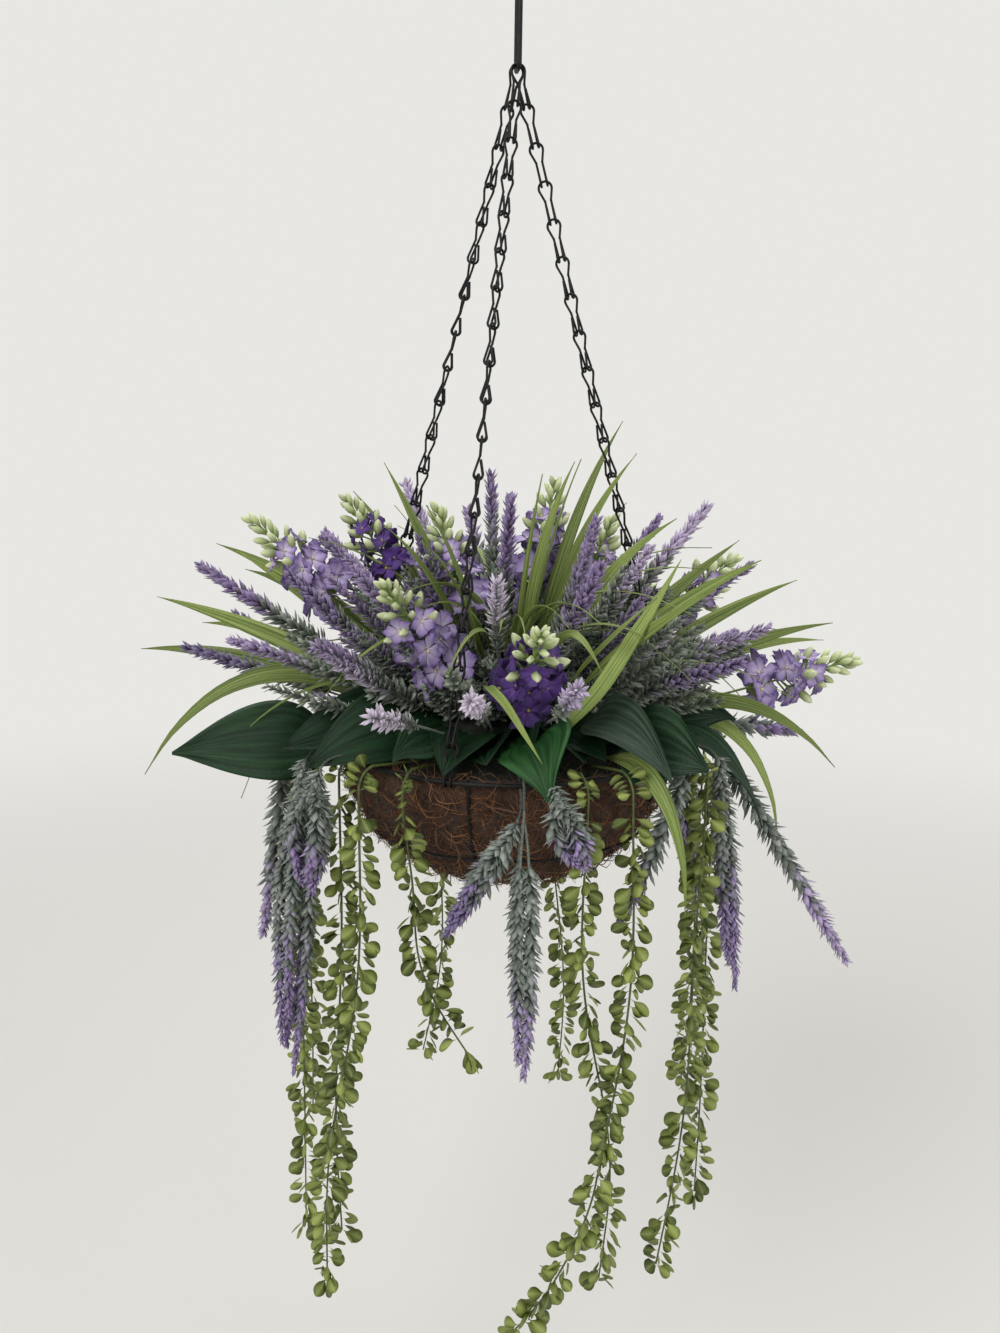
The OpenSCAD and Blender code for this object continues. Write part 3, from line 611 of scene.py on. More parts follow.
def closedSheet(top, thickness, shade):
    # A sheet with two sides, thinner at its long edges
    rows, columns = top.shape[:2]
    across = np.linspace(0, 1, columns)
    depth = thickness * (0.25 + 0.75 * (1 - np.abs(2 * across - 1) ** 3))
    half = gridNormals(top) * depth[None, :, None] / 2
    points = np.vstack([(top + half).reshape(-1, 3), (top - half).reshape(-1, 3)])
    faces, under = [], rows * columns
    for i in range(rows - 1):
        for j in range(columns - 1):
            a = i * columns + j
            quad = (a, a + 1, a + columns + 1, a + columns)
            faces += [quad, tuple(under + k for k in reversed(quad))]
    border = ([(0, j) for j in range(columns)] + [(i, columns - 1) for i in range(1, rows)]
              + [(rows - 1, j) for j in range(columns - 2, -1, -1)]
              + [(i, 0) for i in range(rows - 2, 0, -1)])
    loop = [i * columns + j for i, j in border]
    faces += [(b, a, under + a, under + b) for a, b in zip(loop, loop[1:] + loop[:1])]
    values = {"along": np.tile(np.repeat(np.linspace(0, 1, rows), columns), 2),
              "across": np.tile(np.tile(across, rows), 2), "shade": np.full(2 * under, shade)}
    return points, faces, values


def together(sheets):
    points, faces, values, start = [], [], {}, 0
    for sheetPoints, sheetFaces, sheetValues in sheets:
        points.append(sheetPoints)
        faces += [tuple(start + k for k in face) for face in sheetFaces]
        for key, array in sheetValues.items():
            values.setdefault(key, []).append(array)
        start += len(sheetPoints)
    return np.vstack(points), faces, {key: np.concatenate(arrays) for key, arrays in values.items()}


def joinSheets(name, sheets, material):
    mesh = makeMesh(name, *together(sheets))
    mesh.materials.append(material)
    return outward(mesh)


def ringQuads(start, rings, columns):
    # Faces between rings of points that each run once round
    quads = []
    for i in range(rings - 1):
        for j in range(columns):
            a, b = start + i * columns + j, start + i * columns + (j + 1) % columns
            quads.append((a, b, b + columns, a + columns))
    return quads


# Small parts, made once and copied

parts = []


def addPart(name, points, faces, values):
    part = bpy.data.objects.new(name, outward(makeMesh(name, points, faces, values)))
    scene.collection.objects.link(part)
    parts.append(part)
    return part


def lens(stations, widths, puff, bow):
    # A closed leaf along +Z with its upper side to +Y
    points, blade, edge, faces = [(0, 0, stations[0])], [stations[0]], [0.5], []
    for t, w in zip(stations[1:-1], widths):
        y = bow * t * t
        points += [(-w / 2, y, t), (0, y + puff * w, t), (w / 2, y, t), (0, y - puff * w, t)]
        blade += [t] * 4
        edge += [1, 0, 1, 0]
    points.append((0, bow, stations[-1]))
    blade.append(stations[-1])
    edge.append(0.5)
    last = len(points) - 1
    for j in range(4):
        k = (j + 1) % 4
        faces += [(0, 1 + k, 1 + j), (last, last - 4 + j, last - 4 + k)]
        for a in range(1, last - 4, 4):
            faces.append((a + j, a + k, a + 4 + k, a + 4 + j))
    return np.array(points, float), faces, {"blade": np.array(blade, float), "edge": np.array(edge, float)}


leaflet = addPart("leaflet", *lens([0, 0.3, 0.65, 1], [0.3, 0.36], 0.16, 0.06))
longLeaflet = addPart("longLeaflet", *lens([0, 0.3, 0.65, 1], [0.3, 0.38], 0.12, -0.1))
thinLeaflet = addPart("thinLeaflet", *lens([0, 0.3, 0.7, 1], [0.19, 0.21], 0.16, 0.12))
budPart = addPart("bud", *lens([0, 0.15, 0.42, 0.7, 0.9, 1], [0.2, 0.4, 0.37, 0.19], 0.5, 0.0))
vineLeafPart = addPart("vineLeaf", *lens([0, 0.2, 0.3, 0.42, 0.55, 0.68, 0.8, 0.9, 0.97, 1],
                                         [0.06, 0.24, 0.47, 0.61, 0.65, 0.59, 0.43, 0.2], 0.07, -0.15))
broadLeafPart = addPart("broadLeaf", *lens([0, 0.12, 0.35, 0.62, 0.86, 1], [0.08, 0.4, 0.46, 0.24],
                                           0.08, -0.2))

floret = {"petals": 5, "rows": 6, "columns": 5, "cup": 24, "cupMore": 14, "shorter": 0.14, "thickness": 0.03,
          "halfWidths": [0.07, 0.12, 0.23, 0.33, 0.34, 0.18], "lobeStep": 0.37, "eye": (0.24, 0.24, 0.22)}
t, u = np.meshgrid(np.linspace(0, 1, floret["rows"]), np.linspace(-1, 1, floret["columns"]), indexing="ij")
half = np.interp(t, [0, 0.2, 0.4, 0.6, 0.8, 1], floret["halfWidths"])
sheets = []
for i in range(floret["petals"]):
    # Each petal is ruffled, hollow along its middle, bent back and notched at its end
    bend = 0.16 * t * u ** 2 - 0.22 * t ** 2 + 0.11 * t * np.sin(2.8 * u + 2.1 * i)
    notched = t - 0.2 * t ** 3 * u ** 2 - 0.05 * t ** 6 * (u == 0)
    reach = (1.0 - floret["shorter"] * (i % 2)) * notched
    points, faces, values = closedSheet(np.stack([half * u, bend, reach], 2), floret["thickness"], 0.5)
    turn = (Matrix.Rotation(2 * math.pi * i / floret["petals"], 3, "Z")
            @ Matrix.Rotation(math.radians(90 - floret["cup"] - floret["cupMore"] * (i % 2)), 3, "X"))
    sheets.append(([tuple(turn @ Vector(p)) for p in points], faces,
                   {"blade": values["along"], "edge": np.abs(2 * values["across"] - 1),
                    "lobe": np.full(len(points), i * floret["lobeStep"] % 1)}))
points, faces, values = lens([0, 0.3, 0.8, 1], [0.7, 0.6], 0.5, 0.0)
zeros = np.zeros(len(points))
sheets.append((points * floret["eye"], faces, {"blade": zeros, "edge": zeros, "lobe": zeros + 0.5}))
floretPart = addPart("floret", *together(sheets))


def strandPart(name, bends, thickness):
    # A three-sided thread that thins towards both ends
    rings, corners = 7, (0, 2.094, 4.189)
    points = []
    for i, p in enumerate(smoothLine(bends, rings)):
        r = thickness * (1 - 0.7 * abs(2 * i / (rings - 1) - 1) ** 2)
        points += [(p[0] + r * math.cos(a), p[1] + r * math.sin(a), p[2]) for a in corners]
    last = len(points) - 1
    faces = [(2, 1, 0), (last - 2, last - 1, last)] + ringQuads(0, rings, len(corners))
    return addPart(name, points, faces, {"blade": np.repeat(np.linspace(0, 1, rings), len(corners))})


curlyStrand = strandPart("curlyStrand", [(0.05, 0, -0.45), (0.24, 0.02, -0.2), (0.06, 0.08, 0.12),
                                         (-0.22, -0.04, 0.4)], 0.0115)
bentStrand = strandPart("bentStrand", [(0.05, 0.12, -0.5), (-0.06, 0.0, -0.15), (0.1, -0.04, 0.2),
                                       (-0.06, 0.16, 0.5)], 0.009)
longHair = strandPart("longHair", [(0.1, 0.1, -0.5), (-0.12, 0.0, -0.2), (0.14, -0.1, 0.15),
                                   (-0.1, 0.2, 0.45)], 0.0035)
print("stage: small parts made")


# Wire frame, hook, loop and chains keep their CAD shape

for name in ("hanger_hook", "hanger_loop", "chain_left", "chain_front", "chain_right", "rim_hoop",
             "belly_hoop", "base_hoop", "frame_ribs"):
    nodes[name].data.materials.clear()
    nodes[name].data.materials.append(coatedWire)


# Coir liner: a matted bowl and the strands that stand out of it

coir = {"wall": 0.0055, "rows": 46, "columns": 150, "lumps": 90, "fractal": (0.9, 2.0, 4),
        "roughness": 0.0013, "sunk": 0.4}
# Each layer: part, strands in a square metre, shortest, longest, least lean, most lean, seed
coirLayers = {"coirStrands": (curlyStrand, 50000.0, 0.014, 0.038, 1.38, 1.68, 3),
              "coirUpperStrands": (bentStrand, 43000.0, 0.014, 0.038, 1.42, 1.66, 13),
              "coirStrayStrands": (bentStrand, 9000.0, 0.014, 0.028, 0.9, 1.9, 8),
              "coirHairs": (longHair, 1500.0, 0.03, 0.056, 0.9, 2.2, 5)}


def halfOutline(name, upper):
    cloud = np.vstack(looseSolids(name))
    flat = np.column_stack([np.hypot(cloud[:, 0], cloud[:, 1]), cloud[:, 2]])
    flat = np.unique(np.round(flat, 5), axis=0)
    flat = flat[np.lexsort((flat[:, 1], flat[:, 0]))]
    hull = []
    for p in flat[::-1] if upper else flat:
        while len(hull) > 1 and np.cross(hull[-1] - hull[-2], p - hull[-2]) <= 0:
            hull.pop()
        hull.append(p)
    return np.array(hull[::-1] if upper else hull)


def sampled(outline, count):
    steps = stepsAlong(outline)
    at = np.linspace(0, steps[-1], count)
    return np.column_stack([np.interp(at, steps, outline[:, 0]), np.interp(at, steps, outline[:, 1])])


def around(r, z, j, columns):
    a = 2 * math.pi * j / columns
    return r * math.cos(a), r * math.sin(a), z


def quadsWithin(faces, count):
    return [face for face in faces if max(face) < count and len(face) == 4]


def strew(surface, material, part, density, small, large, lowLean, highLean, seed):
    return runTree(surface, strewTree, {"Part": part, "Density": density, "Small": small, "Large": large,
                                        "Low Lean": lowLean, "High Lean": highLean, "Seed": seed,
                                        "Material": material})


columns, ringCount = coir["columns"], coir["rows"] - 1
outline = sampled(halfOutline("coir_liner", False), coir["rows"])
slopes = np.gradient(outline, axis=0)
normals = np.column_stack([slopes[:, 1], -slopes[:, 0]])
normals /= np.linalg.norm(normals, axis=1)[:, None]
points, faces = [], []
outer = ringCount * columns
for layer in (0, 1):
    for spot, normal in zip(outline[1:], normals[1:]):
        for j in range(columns):
            bumps = noise.fractal(Vector(around(*spot, j, columns)) * coir["lumps"], *coir["fractal"])
            rough = bumps * coir["roughness"] - coir["roughness"] * coir["sunk"]
            points.append(around(*(spot + normal * (rough - layer * coir["wall"])), j, columns))
    quads = ringQuads(layer * outer, ringCount, columns)
    foot = tuple(range(layer * outer, layer * outer + columns))
    faces += [quad[::-1] for quad in quads] + [foot] if layer else quads + [foot[::-1]]
edge = outer - columns
for j in range(columns):
    k = (j + 1) % columns
    faces.append((edge + j, edge + k, outer + edge + k, outer + edge + j))
linerMesh = outward(makeMesh("coirLiner", points, faces))
linerMesh.materials.append(coirMat)
addPiece("coirLiner", linerMesh, "coir", "coir_liner")
skin = makeMesh("coirSkin", points[:outer], quadsWithin(faces, outer))
for name, layer in coirLayers.items():
    mesh = strew(skin, coirStrand, *layer)
    addPiece(name, mesh, "coir")
    print("stage:", name, len(mesh.polygons), "faces")


# Foam dome with moss, hidden among the stems

moss = {"rows": 26, "columns": 80, "lumps": 70, "bumps": 0.003, "sunk": 0.6, "baseDrop": 0.012, "taper": 0.96}
# The same order as a layer of coir
fillerLayer = (broadLeafPart, 22000.0, 0.016, 0.034, 0.1, 1.1, 21)
rows, columns = moss["rows"], moss["columns"]
dome = sampled(halfOutline("floral_foam", True), rows)
top = (rows - 1) * columns
edge = top - columns
points = []
for r, z in dome[1:]:
    for j in range(columns):
        x, y = around(r, z, j, columns)[:2]
        bump = noise.noise(Vector((x, y, z)) * moss["lumps"]) - moss["sunk"]
        points.append((x, y, z + moss["bumps"] * bump))
points.append((0, 0, dome[0][1] - moss["sunk"] * moss["bumps"]))
points += [(moss["taper"] * x, moss["taper"] * y, rimZ - moss["baseDrop"]) for x, y, z in points[edge:top]]
faces = [(a, d, c, b) for a, b, c, d in ringQuads(0, rows - 1, columns)]
for j in range(columns):
    k = (j + 1) % columns
    faces += [(top, j, k), (edge + j, top + 1 + j, top + 1 + k, edge + k)]
faces.append(tuple(top + 1 + j for j in range(columns)))
foamMesh = outward(makeMesh("mossyFoam", points, faces))
foamMesh.materials.append(mossyFoam)
addPiece("mossyFoam", foamMesh, "foam", "floral_foam")
crown = outward(makeMesh("crown", points[:top], quadsWithin(faces, top)))
filler = strew(crown, fillerLeaf, *fillerLayer)
addPiece("fillerLeaves", filler, "hosta_dark")
print("stage: foam and filler,", len(filler.polygons), "faces")
domeLeans = np.degrees(np.arctan2(dome[:, 0], dome[:, 1] - root[2]))
domeDistances = np.hypot(dome[:, 0], dome[:, 1] - root[2])


# Upright lavender

lavender = {"stemRadius": 0.0009, "tipRadius": 0.5, "spacing": 0.00055, "lowTilt": 0.85, "sway": 0.004,
            "steps": 40, "leastBare": 0.012, "bloom": (0.2, 0.4), "tintSpread": 0.24, "longer": (0.9, 1.1),
            "seed": 30}
# The ones at the front open into a pale star, the others are blunt spikes
spikeForm = {"part": leaflet, "leafy": 0.108, "tipTilt": 0.62, "tint": 0.52, "later": 0.18,
             "lengths": [0.0112, 0.0125, 0.0115, 0.0102, 0.0078]}
starForm = {"part": thinLeaflet, "leafy": 0.06, "tipTilt": 0.85, "tint": 0.86, "later": 0.0,
            "lengths": [0.0095, 0.011, 0.0125, 0.0128, 0.0095]}
lavenderNodes = {"lavender_left": spikeForm, "lavender_front": starForm, "lavender_top": spikeForm,
                 "lavender_right": spikeForm, "lavender_back": spikeForm}


def spikeLine(points, leafFrom, tint, bloom, lengths):
    steps = stepsAlong(points)
    along = (steps - leafFrom) / (steps[-1] - leafFrom)
    t = np.clip(along, 0, 1)
    return {"points": points, "heading": headings(points), "along": along,
            "girth": np.interp(t, [0, 0.3, 0.6, 0.88, 1], lengths),
            "radius": lavender["stemRadius"] * np.interp(t, [0, 1], [1.0, lavender["tipRadius"]]),
            "tint": np.full(len(points), tint), "bloom": np.full(len(points), bloom)}


def draws(look, *keys):
    return [dice.uniform(*look[key]) for key in keys]


def someTint(middle, spread):
    return float(np.clip(dice.normal(middle, spread), 0, 1))


def addSprigs(name, paths, look, seed, material, slotName, *replaced):
    mesh = runTree(lineMesh(name, paths), sprigTree,
                   {"Leaflet": look["part"], "Spacing": look["spacing"], "Low Tilt": look["lowTilt"],
                    "Tip Tilt": look["tipTilt"], "Seed": seed, "Stem Material": lavenderStem,
                    "Leaf Material": material})
    addPiece(name, mesh, slotName, *replaced)
    print("stage:", name, len(paths), "sprigs,", len(mesh.polygons), "faces")


for seed, (name, form) in enumerate(lavenderNodes.items()):
    paths = []
    for solid in looseSolids(name):
        far = distances(solid, root)
        way = unit(solid[far.argmax()] - root)
        start, reach = far.min(), far.max()
        side = unit(np.cross(way, dice.normal(size=3)))
        curve = np.sin(np.linspace(0, math.pi, lavender["steps"])) * lavender["sway"]
        points = root + np.linspace(start, reach, lavender["steps"])[:, None] * way + curve[:, None] * side
        tint = someTint(form["tint"], lavender["tintSpread"])
        bloom = dice.uniform(*lavender["bloom"]) + form["later"]
        paths.append(spikeLine(points, max(reach - start - form["leafy"], lavender["leastBare"]), tint, bloom,
                               dice.uniform(*lavender["longer"]) * np.array(form["lengths"])))
    addSprigs(nodeWords(name), paths, {**lavender, **form}, lavender["seed"] + seed, lavenderLeaf,
              "lavender_flower", name)


# Short grey shoots that fill the planting between the tall stems

shoots = {"count": 270, "part": longLeaflet, "spacing": 0.00096, "lowTilt": 0.9, "tipTilt": 0.5,
          "headed": 0.42, "frontWithin": 52, "backBeyond": 128, "lowBeyond": 100, "sunk": 0.004,
          "bare": 0.004, "steps": 16, "bend": 0.012, "lean": (22, 72), "sideLean": (22, 80),
          "frontLean": (48, 60), "reach": (0.06, 0.125), "frontReach": (0.03, 0.05), "bloom": (0.4, 0.6),
          "never": 2.0, "tint": (0.5, 0.25), "longer": (0.9, 1.16),
          "lengths": [0.009, 0.012, 0.011, 0.009, 0.006], "seed": 44}
# Six drawn ones at the middle and left of it: azimuth, lean, reach, tint, start of bloom
drawnShoots = [(-54, 42, 0.19, 0.62, 0.45), (-46, 61, 0.178, 0.9, 0.5), (-62, 52, 0.176, 0.5, 0.5),
               (-38, 50, 0.15, 0.4, 2.0), (-67, 45, 0.186, 0.6, 0.5), (-17, 57, 0.150, 0.45, 2.0)]
drawnLook = {"start": 0.07, "bare": 0.012, "steps": 20, "lengths": [0.011, 0.013, 0.012, 0.0105, 0.0085]}
sectors = {"Front": [], "Left": [], "Right": [], "Back": []}
for i in range(shoots["count"]):
    azimuth = (i * goldenDegrees) % 360 - 180
    lean = dice.uniform(*shoots["lean" if abs(azimuth) < shoots["lowBeyond"] else "sideLean"])
    front = abs(azimuth) < shoots["frontWithin"]
    lean = min(lean, dice.uniform(*shoots["frontLean"])) if front else lean
    start = np.interp(lean, domeLeans, domeDistances) - shoots["sunk"]
    reach = start + dice.uniform(*shoots["frontReach" if front else "reach"])
    beside = "Left" if azimuth < 0 else "Right"
    sector = "Front" if front else "Back" if abs(azimuth) > shoots["backBeyond"] else beside
    way = wayOf(azimuth, lean)
    side = unit(np.cross(way, dice.normal(size=3)))
    t = np.linspace(0, 1, shoots["steps"])[:, None]
    curve = t ** 2 * side * dice.uniform(0.0, shoots["bend"])
    points = root + np.linspace(start, reach, shoots["steps"])[:, None] * way + curve
    headed = dice.random() < shoots["headed"] and not front
    bloom = dice.uniform(*shoots["bloom"]) if headed else shoots["never"]
    tint = someTint(*shoots["tint"])
    sectors[sector].append(spikeLine(points, shoots["bare"], tint, bloom,
                                     dice.uniform(*shoots["longer"]) * np.array(shoots["lengths"])))
for azimuth, lean, reach, tint, bloom in drawnShoots:
    points = root + np.linspace(drawnLook["start"], reach, drawnLook["steps"])[:, None] * wayOf(azimuth, lean)
    sectors["Left"].append(spikeLine(points, drawnLook["bare"], tint, bloom, drawnLook["lengths"]))
for seed, (sector, paths) in enumerate(sectors.items()):
    addSprigs("greyShoots" + sector, paths, shoots, shoots["seed"] + seed, lavenderLeaf, "lavender_grey")


# Hanging lavender

trail = {"part": longLeaflet, "bend": 0.020, "spacing": 0.00066, "lowTilt": 0.75, "tipTilt": 0.5,
         "fork": 0.046, "forkAside": (0.014, -0.004, 0.004), "forkSpread": 1.25, "leaf": 0.0115,
         "slim": 0.0105, "stout": 0.016, "strands": 3, "leftSpread": 1.4, "slantWithin": 0.136,
         "slant": (-0.050, 0.0, 0.010), "steps": 25, "bowSteps": 10, "tint": (0.42, 0.2),
         "bloom": (0.5, 0.68), "loose": (-0.5, 0.5), "shorter": (0.8, 0.95), "longer": (0.9, 1.1),
         "lengths": [0.85, 1.0, 0.95, 0.72, 0.45], "loneLeaf": 1.25, "seed": 50, "nearTip": 0.4,
         "mostBend": 0.8, "openPower": 0.7, "openTo": 0.86, "inset": 0.006, "leastApart": 0.002,
         "apart": 0.75, "loneApart": 0.3, "leafTilt": 0.7, "aside": (0.2, 0.9, 0.4)}
trailNodes = ["lavender_trail_left", "lavender_trail_front", "lavender_trail_right", "lavender_trail_back"]


def trailShape(solid):
    base = solid[np.hypot(solid[:, 0], solid[:, 1]).argmin()]
    pick = unit(base - root)
    away = distances(solid, base)
    tip = solid[away.argmax()]
    near = solid[distances(solid, tip) < trail["nearTip"] * away.max()]
    axis = np.linalg.svd(near - near.mean(0), full_matrices=False)[2][0]
    axis = axis if np.dot(axis, tip - near.mean(0)) > 0 else -axis
    # The corner is where the stem's first run meets the spike's axis
    gap = tip - root
    k = np.dot(pick, axis)
    s = (np.dot(gap, pick) - k * np.dot(gap, axis)) / (1 - k * k)
    u = (k * np.dot(gap, pick) - np.dot(gap, axis)) / (1 - k * k)
    corner = (root + s * pick + tip + u * axis) / 2
    offsets = near - tip
    spread = np.linalg.norm(offsets - np.outer(offsets @ axis, axis), axis=1).max()
    return root + np.linalg.norm(base - root) * pick, corner, tip, axis, pick, spread


for seed, name in enumerate(trailNodes):
    paths = []
    shapes = sorted([trailShape(solid) for solid in looseSolids(name)], key=lambda shape: shape[2][2])
    for number, (base, corner, tip, axis, pick, spread) in enumerate(shapes):
        forked = name == "lavender_trail_front"
        if forked and number:
            # The two short ones at the front leave the long one's stem and spread to their own tips
            stem, top, main = shapes[0][0], shapes[0][1], shapes[0][3]
            corner = top + (0.5 * trail["fork"] * main if tip[0] < top[0] else np.array(trail["forkAside"]))
            base, pick, axis = stem, unit(corner - stem), unit(tip - corner)
            spread *= trail["forkSpread"]
        if name == "lavender_trail_right" and tip[0] < trail["slantWithin"]:
            # One at the right slants towards the middle as it hangs
            tip = tip + np.array(trail["slant"])
            axis = unit(tip - corner)
        cut = min(trail["bend"], trail["mostBend"] * np.linalg.norm(tip - corner))
        t = np.linspace(0, 1, trail["bowSteps"])[:, None]
        before, after = corner - cut * pick, corner + cut * axis
        bow = (1 - t) ** 2 * before + 2 * t * (1 - t) * corner + t ** 2 * after
        straight = after + np.linspace(0, 1, trail["steps"] + 1)[1:, None] * (tip - after)
        bare = np.linalg.norm(before - base) + cut + (trail["fork"] if forked and not number else 0.0)
        # A thick one is several sprigs that hang side by side
        strands = 1 if spread < trail["slim"] else trail["strands"] + 2 * (spread > trail["stout"])
        if name == "lavender_trail_left" and strands > 1:
            strands, spread = strands + 2, spread * trail["leftSpread"]
        tint, bloom = someTint(*trail["tint"]), dice.uniform(*trail["bloom"])
        down = np.linspace(0, 1, trail["steps"])[:, None]
        opened = np.sin(down ** trail["openPower"] * math.pi * trail["openTo"])
        apart = max(spread - trail["inset"], trail["leastApart"])
        apart *= trail["apart"] if strands > 1 else trail["loneApart"]
        across = unit(np.cross(axis, trail["aside"]))
        for k in range(strands):
            angle = 2 * math.pi * k / strands + dice.uniform(*trail["loose"])
            side = math.cos(angle) * across + math.sin(angle) * np.cross(axis, across)
            shorter = 1.0 if k == 0 else dice.uniform(*trail["shorter"])
            run = after + (straight - after) * shorter + opened * side * apart
            size = min(trail["leaf"], spread / math.sin(trail["leafTilt"])) * dice.uniform(*trail["longer"])
            size *= trail["loneLeaf"] if strands == 1 else 1.0
            paths.append(spikeLine(np.vstack([base, bow, run]), bare, tint, bloom,
                                   size * np.array(trail["lengths"])))
    addSprigs(nodeWords(name), paths, trail, trail["seed"] + seed, trailLeaf, "lavender_grey", name)


# Delphinium: spires of buds, then florets on short stalks

stalkSides = 6
delphinium = {"stemRadius": 0.0012, "stalkRadius": 0.0007, "budStalk": 0.0006, "stemSteps": 24,
              "stalkSteps": 6, "leastRun": 0.05, "topRun": 0.02, "stemEnd": 0.003, "slope": 0.45, "buds": 20,
              "budRun": 0.046, "budTop": 0.009, "budOut": 0.0095, "budLength": 0.017,
              "lowLean": 58, "leanLess": 36, "budSize": (0.88, 1.1), "floretScale": 1.26,
              "loose": 0.42, "spin": 6.28, "seat": 0.001, "stalkSeat": 0.0008, "tipRadius": 0.5,
              "aside": (0.3, 0.5, 0.8), "budOutTo": 1.1, "budSeat": 0.001, "budSteps": 3, "budLess": 0.35}
furtherFlorets = {"turn": (33, 57), "up": (-0.003, 0.005), "tilt": 0.2, "size": (0.75, 0.95), "clear": 0.004}
delphiniumNodes = ["delphinium_left", "delphinium_front", "delphinium_right", "delphinium_back"]


def addStalks(name, paths, material, slotName):
    mesh = runTree(lineMesh(name, paths), stalkTree, {"Sides": stalkSides, "Material": material})
    addPiece(nodeWords(name), mesh, slotName, name)


def addCopies(name, places, turns, sizes, part, material, slotName, *replaced):
    mesh = runTree(pointMesh(name, places, turns, sizes), copyTree, {"Part": part, "Material": material})
    addPiece(name, mesh, slotName, *replaced)
    print("stage:", name, len(places), "copies,", len(mesh.polygons), "faces")


flowers = []
for name in ("florets_pale", "florets_dark"):
    for solid in looseSolids(name):
        centre = solid.mean(0)
        flowers.append({"node": name, "centre": centre, "radius": distances(solid, centre).max(),
                        "normal": np.linalg.svd(solid - centre, full_matrices=False)[2][2]})
spires = []
for name in delphiniumNodes:
    for solid in looseSolids(name):
        far = distances(solid, root)
        if far.max() - far.min() >= delphinium["leastRun"]:
            top = solid[far > far.max() - delphinium["topRun"]].mean(0)
            spires.append({"node": name, "way": unit(top - root), "start": far.min(), "reach": far.max()})
for flower in flowers:
    fromRoot = flower["centre"] - root
    gaps = [np.linalg.norm(fromRoot - np.dot(fromRoot, s["way"]) * s["way"]) for s in spires]
    flower["spire"] = spire = spires[int(np.argmin(gaps))]
    height = np.dot(fromRoot, spire["way"])
    outwards = fromRoot - height * spire["way"]
    if np.dot(flower["normal"], outwards) < 0:
        flower["normal"] = -flower["normal"]
    flower["foot"] = root + (height - delphinium["slope"] * np.linalg.norm(outwards)) * spire["way"]

# Further florets sit between the ones the solids hold, a little higher or lower
for flower in list(flowers):
    way = flower["spire"]["way"]
    left = flower["spire"]["reach"] - np.dot(flower["centre"] - root, way)
    if left < delphinium["budRun"] + furtherFlorets["clear"]:
        continue
    turn = Quaternion(Vector(way), math.radians(dice.uniform(*furtherFlorets["turn"])))
    up = way * dice.uniform(*furtherFlorets["up"])
    tilted = np.array(turn @ Vector(flower["normal"])) + dice.normal(size=3) * furtherFlorets["tilt"]
    flowers.append({**flower, "centre": root + np.array(turn @ Vector(flower["centre"] - root)) + up,
                    "normal": unit(tilted), "foot": flower["foot"] + up,
                    "radius": flower["radius"] * dice.uniform(*furtherFlorets["size"])})

for seed, name in enumerate(delphiniumNodes):
    paths, places, turns, sizes = [], [], [], []
    for spire in [s for s in spires if s["node"] == name]:
        way = spire["way"]
        d = np.linspace(spire["start"], spire["reach"] - delphinium["stemEnd"], delphinium["stemSteps"])
        paths.append({"points": root + d[:, None] * way,
                      "radius": delphinium["stemRadius"] * np.linspace(1, delphinium["tipRadius"], len(d))})
        for flower in [f for f in flowers if f["spire"] is spire]:
            end = flower["centre"] - delphinium["stalkSeat"] * flower["normal"]
            run = np.linspace(0, 1, delphinium["stalkSteps"])[:, None]
            paths.append({"points": flower["foot"] + run * (end - flower["foot"]),
                          "radius": np.full(delphinium["stalkSteps"], delphinium["stalkRadius"])})
        side = unit(np.cross(way, delphinium["aside"]))
        other = np.cross(way, side)
        for i in range(delphinium["buds"]):
            up = i / (delphinium["buds"] - 1)
            turn = i * golden + seed
            outwards = math.cos(turn) * side + math.sin(turn) * other
            lean = math.radians(delphinium["lowLean"] - delphinium["leanLess"] * up)
            aim = math.cos(lean) * way + math.sin(lean) * outwards
            at = root + (spire["reach"] - delphinium["budTop"] - delphinium["budRun"] * (1 - up)) * way
            foot = at + delphinium["budOut"] * (delphinium["budOutTo"] - up) * aim
            end, steps = foot + delphinium["budSeat"] * aim, delphinium["budSteps"]
            paths.append({"points": np.linspace(at, end, steps),
                          "radius": np.full(steps, delphinium["budStalk"])})
            places.append(foot)
            turns.append(Vector(aim).to_track_quat("Z", "Y"))
            sizes.append(delphinium["budLength"] * (1.0 - delphinium["budLess"] * up)
                         * dice.uniform(*delphinium["budSize"]))
    addStalks(name, paths, flowerStalk, "delphinium_green")
    addCopies(nodeWords(name) + "Buds", places, turns, sizes, budPart, greenBud, "delphinium_green")

for name, material, slotName in (("florets_pale", palePetal, "petal_pale"),
                                 ("florets_dark", darkPetal, "petal_dark")):
    mine = [flower for flower in flowers if flower["node"] == name]
    faced = [Vector(unit(f["normal"] + dice.normal(size=3) * delphinium["loose"])) for f in mine]
    turns = [Quaternion(way, dice.uniform(0, delphinium["spin"])) @ way.to_track_quat("Z", "Y")
             for way in faced]
    addCopies(nodeWords(name), [f["centre"] - delphinium["seat"] * f["normal"] for f in mine], turns,
              [f["radius"] * delphinium["floretScale"] for f in mine], floretPart, material, slotName, name)


# Grass blades and hosta leaves

def ringsOf(solid, size):
    order = distances(solid, root).argsort()
    return [solid[order[i:i + size]] for i in range(0, len(solid), size)]


def crossLine(ring, last):
    spread = np.linalg.norm(ring[:, None] - ring[None], axis=2)
    a, b = np.unravel_index(spread.argmax(), spread.shape)
    side = unit(ring[b] - ring[a])
    if last is not None and np.dot(side, last) < 0:
        side = -side
    return ring[(ring @ side).argsort()], side


